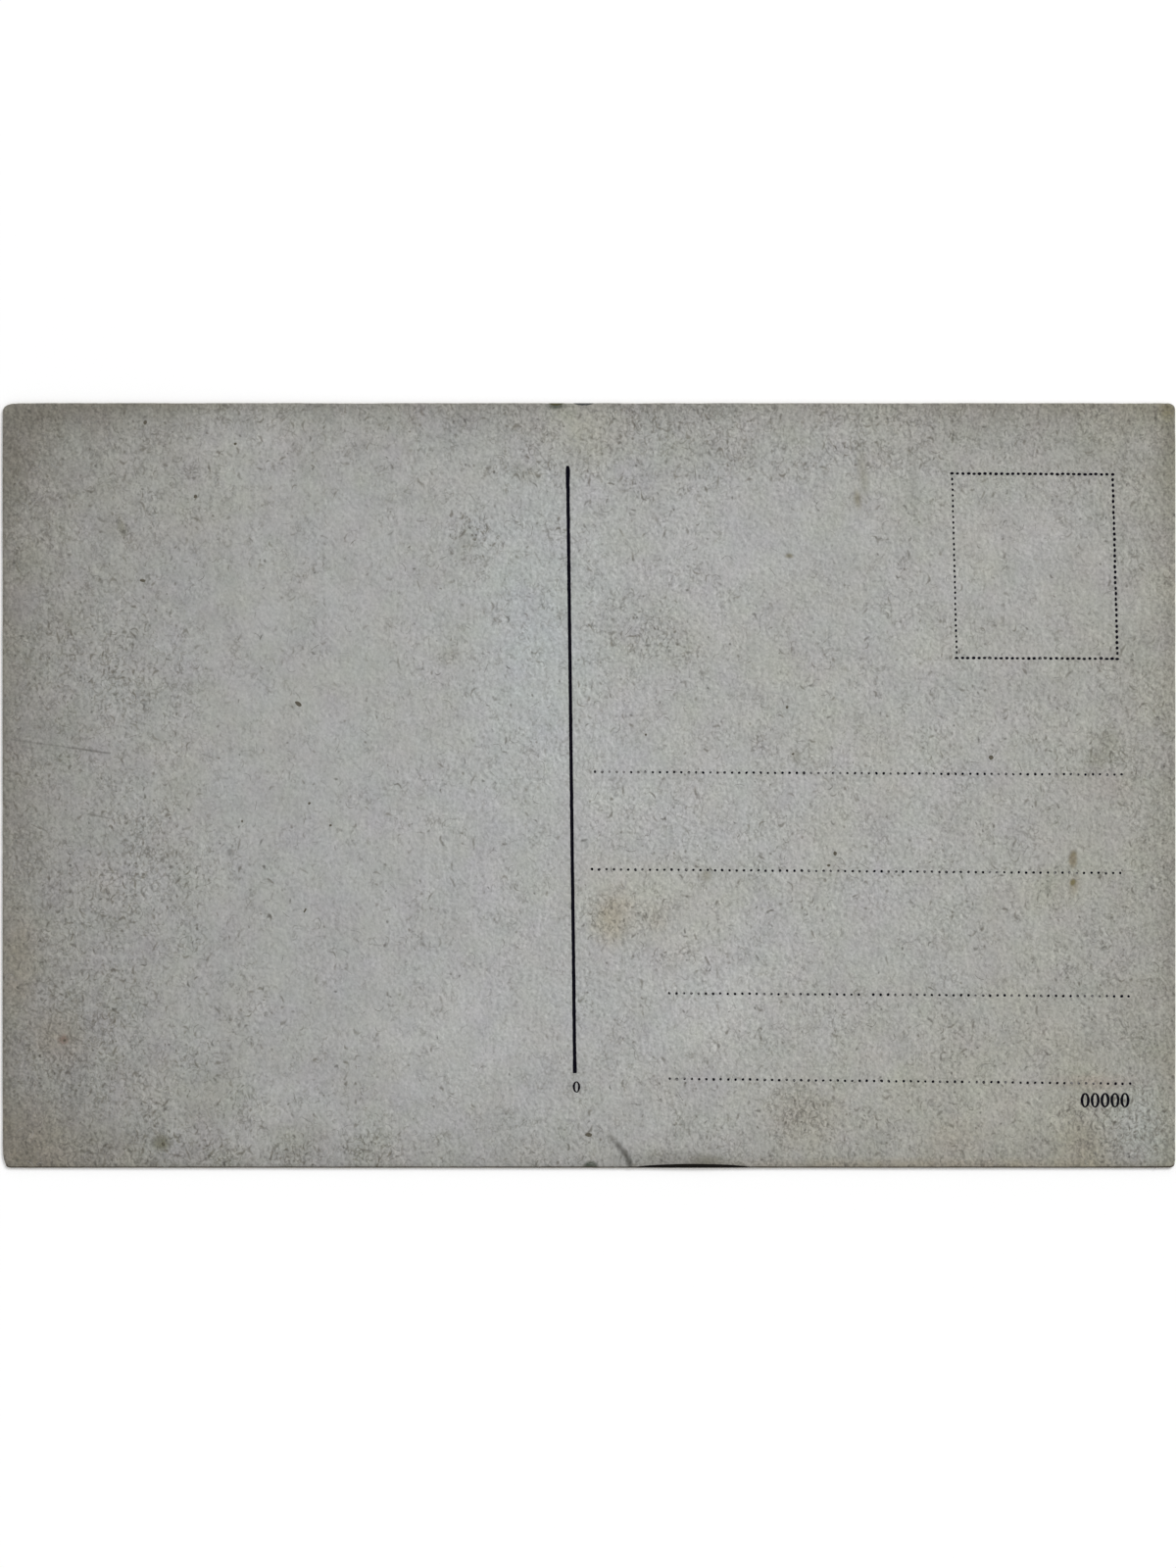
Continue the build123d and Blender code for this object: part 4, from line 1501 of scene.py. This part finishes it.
def fibres_tree():
    """Loose fibres scattered on a face: short curved strands, more of them where the face says so."""
    graph, given, wanted = geometry_tree("loose_fibres", {
        "Density": FLOAT, "Length": FLOAT, "Thickness": FLOAT, "Seed": "NodeSocketInt",
        "Material": "NodeSocketMaterial",
    })
    crowd = graph.times(attribute(graph, "crowd"), given["Density"])
    points = graph.add("GeometryNodeDistributePointsOnFaces", {
        "Mesh": given["Geometry"], "Density": crowd, "Seed": given["Seed"],
    })
    section = graph.add("GeometryNodeCurvePrimitiveCircle", {"Resolution": 3, "Radius": given["Thickness"]})
    strands = graph.add("GeometryNodeJoinGeometry")
    for bow, end in STRANDS:
        line = graph.add("GeometryNodeCurveQuadraticBezier", {
            "Resolution": 5, "Start": (-0.5 * MM, 0, 0), "Middle": (0, 2 * bow * MM, 0),
            "End": (0.5 * MM, end * MM, 0),
        })
        tube = graph.add("GeometryNodeCurveToMesh", {
            "Curve": line.outputs[0], "Profile Curve": section.outputs[0], "Fill Caps": True,
        })
        single = graph.add("GeometryNodeGeometryToInstance", {"Geometry": tube.outputs[0]})
        graph.tree.links.new(single.outputs[0], strands.inputs[0])
    forms = {4: 0, 5: len(STRANDS) - 1, "Seed": 41}
    pick = graph.add("FunctionNodeRandomValue", forms, data_type="INT").outputs[2]
    size = random_value(graph, 0.4, 1.2, 42)
    long = graph.times(size, given["Length"])
    turn = graph.joined(0.0, 0.0, random_value(graph, 0.0, math.tau, 43))
    laid = graph.add("GeometryNodeInstanceOnPoints", {
        "Points": points.outputs["Points"], "Instance": strands.outputs[0], "Pick Instance": True,
        "Instance Index": pick, "Rotation": turn, "Scale": graph.joined(long, long, 1.0),
    })
    shade = graph.add("GeometryNodeStoreNamedAttribute", {
        "Geometry": laid.outputs[0], "Name": "inking", "Value": random_value(graph, 0.0, 1.0, 44),
    }, data_type="FLOAT", domain="INSTANCE")
    real = graph.add("GeometryNodeRealizeInstances", {"Geometry": shade.outputs[0]})
    return give(graph, wanted, {"Geometry": set_material(graph, real.outputs[0], given["Material"])})


def grown(guide, tree, values):
    """Plain mesh that a geometry node group makes of a guide mesh."""
    holder = bpy.data.objects.new("guide", guide)
    bpy.context.scene.collection.objects.link(holder)
    modifier = holder.modifiers.new("grow", "NODES")
    modifier.node_group = tree
    for item in tree.interface.items_tree:
        if item.in_out == "INPUT" and item.name in values:
            modifier[item.identifier] = values[item.name]
    graph = bpy.context.evaluated_depsgraph_get()
    mesh = bpy.data.meshes.new_from_object(holder.evaluated_get(graph), depsgraph=graph)
    holder.modifiers.remove(modifier)
    bpy.data.objects.remove(holder)
    bpy.data.meshes.remove(guide)
    return mesh


def point_values(mesh, name, values):
    """Give each point of a mesh a value under a name."""
    mesh.attributes.new(name, "FLOAT", "POINT").data.foreach_set("value", values)


def guide_mesh(name, marks, height):
    """Points for small marks at a height: where each is, how long and wide, and its heading."""
    mesh = bpy.data.meshes.new(name)
    mesh.from_pydata([on_card(x, y, height) for (x, y), _, _, _ in marks], [], [])
    for column, (key, scale) in enumerate((("long", MM), ("wide", MM), ("heading", 1.0)), start=1):
        point_values(mesh, key, [mark[column] * scale for mark in marks])
    return mesh


def inked_mesh(name, points, faces, inking):
    """New mesh of ink that is equally strong all over."""
    mesh = bpy.data.meshes.new(name)
    mesh.from_pydata(points, [], faces)
    point_values(mesh, "inking", [inking] * len(points))
    mesh.update()
    return mesh


def end_weight(away, end):
    """How much heavier a rule gets towards one of its ends: it swells first and tapers last."""
    swell, place, reach, taper, taper_reach = end
    return swell * math.exp(-((away - place) / reach) ** 2) - taper * math.exp(-away / taper_reach)


def rule_strip(start, end, width, height, base, ragged):
    """A printed rule: a long low strip with uneven edges, a little heavier near its ends."""
    run = end - start
    length = np.linalg.norm(run)
    along = run / length
    aside = np.array([-along[1], along[0]])
    stations = round(length / DIVIDER_STEP)
    points = []
    for station in range(stations + 1):
        share = station / stations
        middle = start + run * share + aside * DIVIDER_SWAY * noise.noise(Vector((share * 9, 3.3, 0)))
        to_top = share * length if run[1] < 0 else (1 - share) * length
        heavy = DIVIDER_WEIGHT + end_weight(to_top, DIVIDER_TOP_END)
        heavy += end_weight(length - to_top, DIVIDER_FOOT_END)
        sides = []
        for side in (-1, 1):
            slow = noise.noise(Vector((share * length * 0.9, side * 17.0, 1.0)))
            fine = noise.noise(Vector((share * length * 3.1, side * 29.0, 2.0)))
            sides.append(width / 2 * heavy + ragged * slow + 0.6 * ragged * fine)
        for across, up in DIVIDER_SECTION:
            x, y = middle + aside * across * sides[across > 0]
            points.append(on_card(x, y, base + up * height))
    count = len(DIVIDER_SECTION)
    faces = [tuple(reversed(range(count))), tuple(stations * count + index for index in range(count))]
    faces.extend(tube_faces(stations + 1, count))
    return inked_mesh("rule_strip", points, faces, DIVIDER_INKING)


def zero_figures(centres, figure, height, base, ragged):
    """Plain zeros: upright rings with strong sides and thin ends."""
    tall, wide, _ = figure
    count = len(FIGURE_SECTION)
    points = []
    faces = []
    for centre_x, centre_y in centres:
        first = len(points)
        for side in range(FIGURE_SIDES):
            angle = math.tau * side / FIGURE_SIDES
            for across, along, up in FIGURE_SECTION:
                x = centre_x + math.cos(angle) * across * wide / 2
                y = centre_y + math.sin(angle) * along * tall / 2
                x += ragged * bumps(x, y, FIGURE_FINENESS, 6.0)
                y += ragged * bumps(x, y, FIGURE_FINENESS, 8.0)
                points.append(on_card(x, y, base + up * height))
        for side in range(FIGURE_SIDES):
            here = first + side * count
            there = first + (side + 1) % FIGURE_SIDES * count
            for index in range(count):
                after = (index + 1) % count
                faces.append((here + index, there + index, there + after, here + after))
    return inked_mesh("zero_figures", points, faces, FIGURE_INKING)


class POSTCARD_OT_plies(bpy.types.Operator):
    """Build the paper plies of the card, and the paste between them"""

    bl_idname = "postcard.plies"
    bl_label = "Paper Plies"

    def execute(self, context):
        paper = context.scene.postcard_paper
        finishes = {
            "coated_paper": coated_paper(),
            "paste": dried_paste(),
            "pulp_board": pulp_core(),
            "pulp_paper": address_paper(paper),
        }
        for node, slot, seed, setback, shown in PLIES:
            low, high = span(node)
            loop = worn_loop(seed, setback, paper.fray / MM)
            sheet = SheetMesh(loop, low[2], high[2], shown)
            name = f"{node}_sheet"
            new_piece(name, sheet.mesh(name), finishes[slot], slot, node)
        return {"FINISHED"}


class POSTCARD_OT_picture(bpy.types.Operator):
    """Build the printed picture on the side that lies down"""

    bl_idname = "postcard.picture"
    bl_label = "Picture"

    def execute(self, context):
        low, high = span("picture_print")
        loop = resampled(rectangle(low, high), PICTURE_STEP)
        stray = [PICTURE_STRAY * (0.5 + 0.5 * bumps(x, y, PICTURE_FINENESS, 2.0)) for x, y in loop]
        loop = loop + inward(loop) * np.array(stray)[:, None]
        mesh = SheetMesh(loop, low[2], high[2], "lower").mesh("picture_print_film")
        ink = picture_ink(context.scene.postcard_print)
        new_piece("picture_print_film", mesh, ink, "picture_ink", "picture_print")
        return {"FINISHED"}


class POSTCARD_OT_divider(bpy.types.Operator):
    """Print the upright rule between message and address"""

    bl_idname = "postcard.divider"
    bl_label = "Divider Rule"

    def execute(self, context):
        settings = context.scene.postcard_print
        low, high = span("divider_rule")
        (centre, long, wide, heading), = solids_of("divider_rule")
        run = np.array([math.cos(heading), math.sin(heading)]) * long / 2
        mesh = rule_strip(centre - run, centre + run, wide, high[2] - low[2], low[2], settings.ragged / MM)
        new_piece("divider_rule_ink", mesh, bpy.data.materials[INK_MATERIAL], "rule_ink", "divider_rule")
        return {"FINISHED"}


class POSTCARD_OT_dots(bpy.types.Operator):
    """Print the dotted stamp frame and the four dotted address rules"""

    bl_idname = "postcard.dots"
    bl_label = "Dotted Rules"

    def execute(self, context):
        settings = context.scene.postcard_print
        tree = marks_tree()
        nodes = ["stamp_frame", *(f"address_rule_{number}" for number in range(1, 5))]
        for seed, node in enumerate(nodes):
            low, high = span(node)
            longer, wider, weak, strong = STAMP_PRINT if node == "stamp_frame" else RULE_PRINT
            marks = []
            for centre, long, wide, heading in solids_of(node):
                upright = abs(math.sin(heading))
                light = STAMP_LIGHT_SIDE * upright * (1 - (centre[0] - low[0]) / (high[0] - low[0])) ** 3
                size = 1 - light if node == "stamp_frame" else 1.0
                marks.append((centre, longer * long * size, wider * wide * size, heading))
            guide = guide_mesh(f"{node}_guide", marks, (low[2] + high[2]) / 2)
            mesh = grown(guide, tree, {
                "Height": float(high[2] - low[2]) * MM, "Size Spread": MARK_SPREAD, "Shift": MARK_SHIFT * MM,
                "Ragged": settings.ragged, "Missing": settings.missing, "Seed": seed,
                "Weak Inking": weak, "Strong Inking": strong,
                "Material": bpy.data.materials[INK_MATERIAL],
            })
            new_piece(f"{node}_ink", mesh, None, "rule_ink", node)
        return {"FINISHED"}


class POSTCARD_OT_numbers(bpy.types.Operator):
    """Print plain zeros in the two number places"""

    bl_idname = "postcard.numbers"
    bl_label = "Number Places"

    def execute(self, context):
        settings = context.scene.postcard_print
        low, high = span("divider_rule")
        short = [(high[0], low[1] - SHORT_DROP)]
        rule_low, rule_high = span("address_rule_4")
        _, wide, pitch = LONG_FIGURE
        last = rule_high[0] - LONG_INDENT - wide / 2
        long = [(last - pitch * place, rule_low[1] - LONG_DROP) for place in reversed(range(LONG_COUNT))]
        for name, centres, figure in (
            ("number_place_short", short, SHORT_FIGURE),
            ("number_place_long", long, LONG_FIGURE),
        ):
            mesh = zero_figures(centres, figure, high[2] - low[2], low[2], settings.ragged / MM)
            new_piece(name, mesh, bpy.data.materials[INK_MATERIAL], "rule_ink")
        return {"FINISHED"}


class POSTCARD_OT_fibres(bpy.types.Operator):
    """Scatter loose fibres and press wood splinters on the address face"""

    bl_idname = "postcard.fibres"
    bl_label = "Fibres and Splinters"

    def execute(self, context):
        paper = context.scene.postcard_paper
        mesh = grown(self.face_mesh(), fibres_tree(), {
            "Density": paper.fibres / (MM * MM), "Length": FIBRE_LENGTH, "Thickness": FIBRE_THICKNESS * MM,
            "Seed": paper.seed, "Material": strand_fibre(paper),
        })
        new_piece("loose_fibres", mesh, None, "pulp_paper")
        marks = [(card_point(from_left, from_top)[:2], long, wide, math.radians(turn))
                 for from_left, from_top, long, wide, turn in SPLINTERS]
        guide = guide_mesh("splinter_guide", marks, ADDRESS_FACE)
        mesh = grown(guide, bpy.data.node_groups["small_marks"], {
            "Height": SPLINTER_HEIGHT * MM, "Size Spread": SPLINTER_SPREAD, "Shift": 0.0,
            "Ragged": SPLINTER_RAGGED * MM, "Missing": 0.0, "Seed": SPLINTER_SEED,
            "Weak Inking": 1.0, "Strong Inking": 1.0, "Material": splinter_wood(),
        })
        new_piece("wood_splinters", mesh, None, "pulp_paper")
        return {"FINISHED"}

    def face_mesh(self):
        """The address face, with how crowded its fibres are."""
        grid = face_grid(CARD_LOW[:2], CARD_HIGH[:2], FIBRE_FACE_STEP)
        ring = resampled(rectangle(CARD_LOW + RIM, CARD_HIGH - RIM), FIBRE_FACE_STEP)
        flat = [*map(tuple, ring), *grid]
        mesh = bpy.data.meshes.new("fibre_face")
        mesh.from_pydata([on_card(x, y, ADDRESS_FACE) for x, y in flat], [], filled(ring, grid))
        crowd = []
        for x, y in flat:
            edge = math.exp(-(x - LEFT) / FIBRE_SIDE_REACH) + math.exp(-(TOP - y) / FIBRE_END_REACH)
            edge += 0.5 * math.exp(-(y - BOTTOM) / FIBRE_END_REACH)
            cloud = 0.5 + 0.5 * bumps(x, y, 1 / FIBRE_CLOUD, 3.7)
            crowd.append(0.35 + 0.6 * edge + 0.6 * cloud)
        point_values(mesh, "crowd", crowd)
        return mesh


class POSTCARD_OT_stage(bpy.types.Operator):
    """Set the pale floor, the soft light and the camera above the card"""

    bl_idname = "postcard.stage"
    bl_label = "Stage"

    def execute(self, context):
        settings = context.scene.postcard_stage
        context.scene.view_settings.view_transform = "Standard"
        self.floor(settings)
        self.light(context, settings)
        self.camera(context, settings)
        return {"FINISHED"}

    def floor(self, settings):
        """Pale floor that looks white to the camera and keeps the card's shadow.

        It glows by as much as the lamp falls short there, so it stays white out to its far end. It is clear
        from below and for the soft light, so the picture side can be looked at too.
        """
        mesh = bpy.data.meshes.new("floor")
        corners = rectangle((-FLOOR_HALF, -FLOOR_HALF), (FLOOR_HALF, FLOOR_HALF))
        mesh.from_pydata([(x, y, -FLOOR_DROP) for x, y in corners], [], [(0, 1, 2, 3)])
        material, graph, shader = new_material("pale_floor")
        path = graph.add("ShaderNodeLightPath").outputs
        seen = graph.seen(path)
        colour = graph.mix(seen, settings.floor, (1, 1, 1))
        graph.tree.links.new(colour, shader.inputs["Base Color"])
        shader.inputs["Roughness"].default_value = 1.0
        shader.inputs["Specular IOR Level"].default_value = 0.0
        to_lamp = graph.vector("SUBTRACT", LAMP_PLACE, graph.add("ShaderNodeTexCoord").outputs["Object"])
        spread = graph.math("POWER", graph.measure("LENGTH", to_lamp), 4.0)
        facing = graph.times(graph.measure("DOT_PRODUCT", to_lamp, LAMP_PLACE), LAMP_PLACE.length_squared)
        short = graph.minus(1.0, graph.math("DIVIDE", facing, spread), clamp=True)
        glow = graph.times(graph.times(short, seen), 1.0 - settings.soft_light)
        shader.inputs["Emission Color"].default_value = (1, 1, 1, 1)
        graph.tree.links.new(glow, shader.inputs["Emission Strength"])
        below = graph.add("ShaderNodeNewGeometry").outputs["Backfacing"]
        clear = graph.math("MAXIMUM", below, path["Is Diffuse Ray"])
        through = graph.add("ShaderNodeBsdfTransparent").outputs[0]
        surface = graph.add("ShaderNodeMixShader", {0: clear, 1: shader.outputs[0], 2: through}).outputs[0]
        graph.tree.links.new(surface, material.node_tree.nodes["Material Output"].inputs["Surface"])
        mesh.materials.append(material)
        floor = bpy.data.objects.new("floor", mesh)
        bpy.context.scene.collection.objects.link(floor)

    def light(self, context, settings):
        """Even light from all round, and one large lamp from the upper right."""
        world = bpy.data.worlds.new("soft_room")
        world.use_nodes = True
        graph = Graph(world.node_tree)
        path = graph.add("ShaderNodeLightPath").outputs
        seen = graph.seen(path)
        background = world.node_tree.nodes["Background"]
        background.inputs["Color"].default_value = (1, 1, 1, 1)
        world.node_tree.links.new(graph.blend(seen, settings.soft_light, 1.0), background.inputs["Strength"])
        context.scene.world = world
        lamp = bpy.data.lights.new("large_lamp", "AREA")
        lamp.shape = "DISK"
        lamp.size = LAMP_WIDTH
        lamp.energy = settings.lamp_power
        holder = bpy.data.objects.new("large_lamp", lamp)
        holder.location = LAMP_PLACE
        holder.rotation_euler = LAMP_PLACE.to_track_quat("Z", "Y").to_euler()
        context.scene.collection.objects.link(holder)

    def camera(self, context, settings):
        """Camera straight above the card, with the card's top edge up in the picture."""
        data = bpy.data.cameras.new("camera")
        data.lens = settings.lens
        data.sensor_width = SENSOR
        data.clip_start = NEAREST
        away = settings.frame_height * settings.lens / data.sensor_width
        holder = bpy.data.objects.new("camera", data)
        across, up = CAMERA_PLACE
        holder.location = (across * MM, up * MM, ADDRESS_FACE * MM + away)
        context.scene.collection.objects.link(holder)
        context.scene.camera = holder


class POSTCARD_PT_sidebar(bpy.types.Panel):
    """Postcard tools"""

    bl_idname = "POSTCARD_PT_sidebar"
    bl_label = "Old Postcard"
    bl_space_type = "VIEW_3D"
    bl_region_type = "UI"
    bl_category = "Postcard"

    def draw(self, context):
        for group in SETTINGS:
            settings = getattr(context.scene, group)
            box = self.layout.box()
            for name in settings.__annotations__:
                box.prop(settings, name)
        for operator in OPERATORS:
            self.layout.operator(operator.bl_idname)


OPERATORS = (
    POSTCARD_OT_plies,
    POSTCARD_OT_picture,
    POSTCARD_OT_divider,
    POSTCARD_OT_dots,
    POSTCARD_OT_numbers,
    POSTCARD_OT_fibres,
    POSTCARD_OT_stage,
)
SETTINGS = {
    "postcard_paper": PaperSettings,
    "postcard_print": PrintSettings,
    "postcard_stage": StageSettings,
}


def register():
    """Make the settings, operators and panel known to Blender."""
    for made in (*SETTINGS.values(), *OPERATORS, POSTCARD_PT_sidebar):
        bpy.utils.register_class(made)
    for name, made in SETTINGS.items():
        setattr(bpy.types.Scene, name, bpy.props.PointerProperty(type=made))


def unregister():
    """Take them away again."""
    for name in SETTINGS:
        delattr(bpy.types.Scene, name)
    for made in reversed((*SETTINGS.values(), *OPERATORS, POSTCARD_PT_sidebar)):
        bpy.utils.unregister_class(made)


def main():
    """Build the card and its stage."""
    register()
    build_groups()
    rule_ink(bpy.context.scene.postcard_print)
    bpy.ops.postcard.plies()
    bpy.ops.postcard.picture()
    bpy.ops.postcard.divider()
    bpy.ops.postcard.dots()
    bpy.ops.postcard.numbers()
    bpy.ops.postcard.fibres()
    bpy.ops.postcard.stage()


if __name__ == "__main__":
    main()
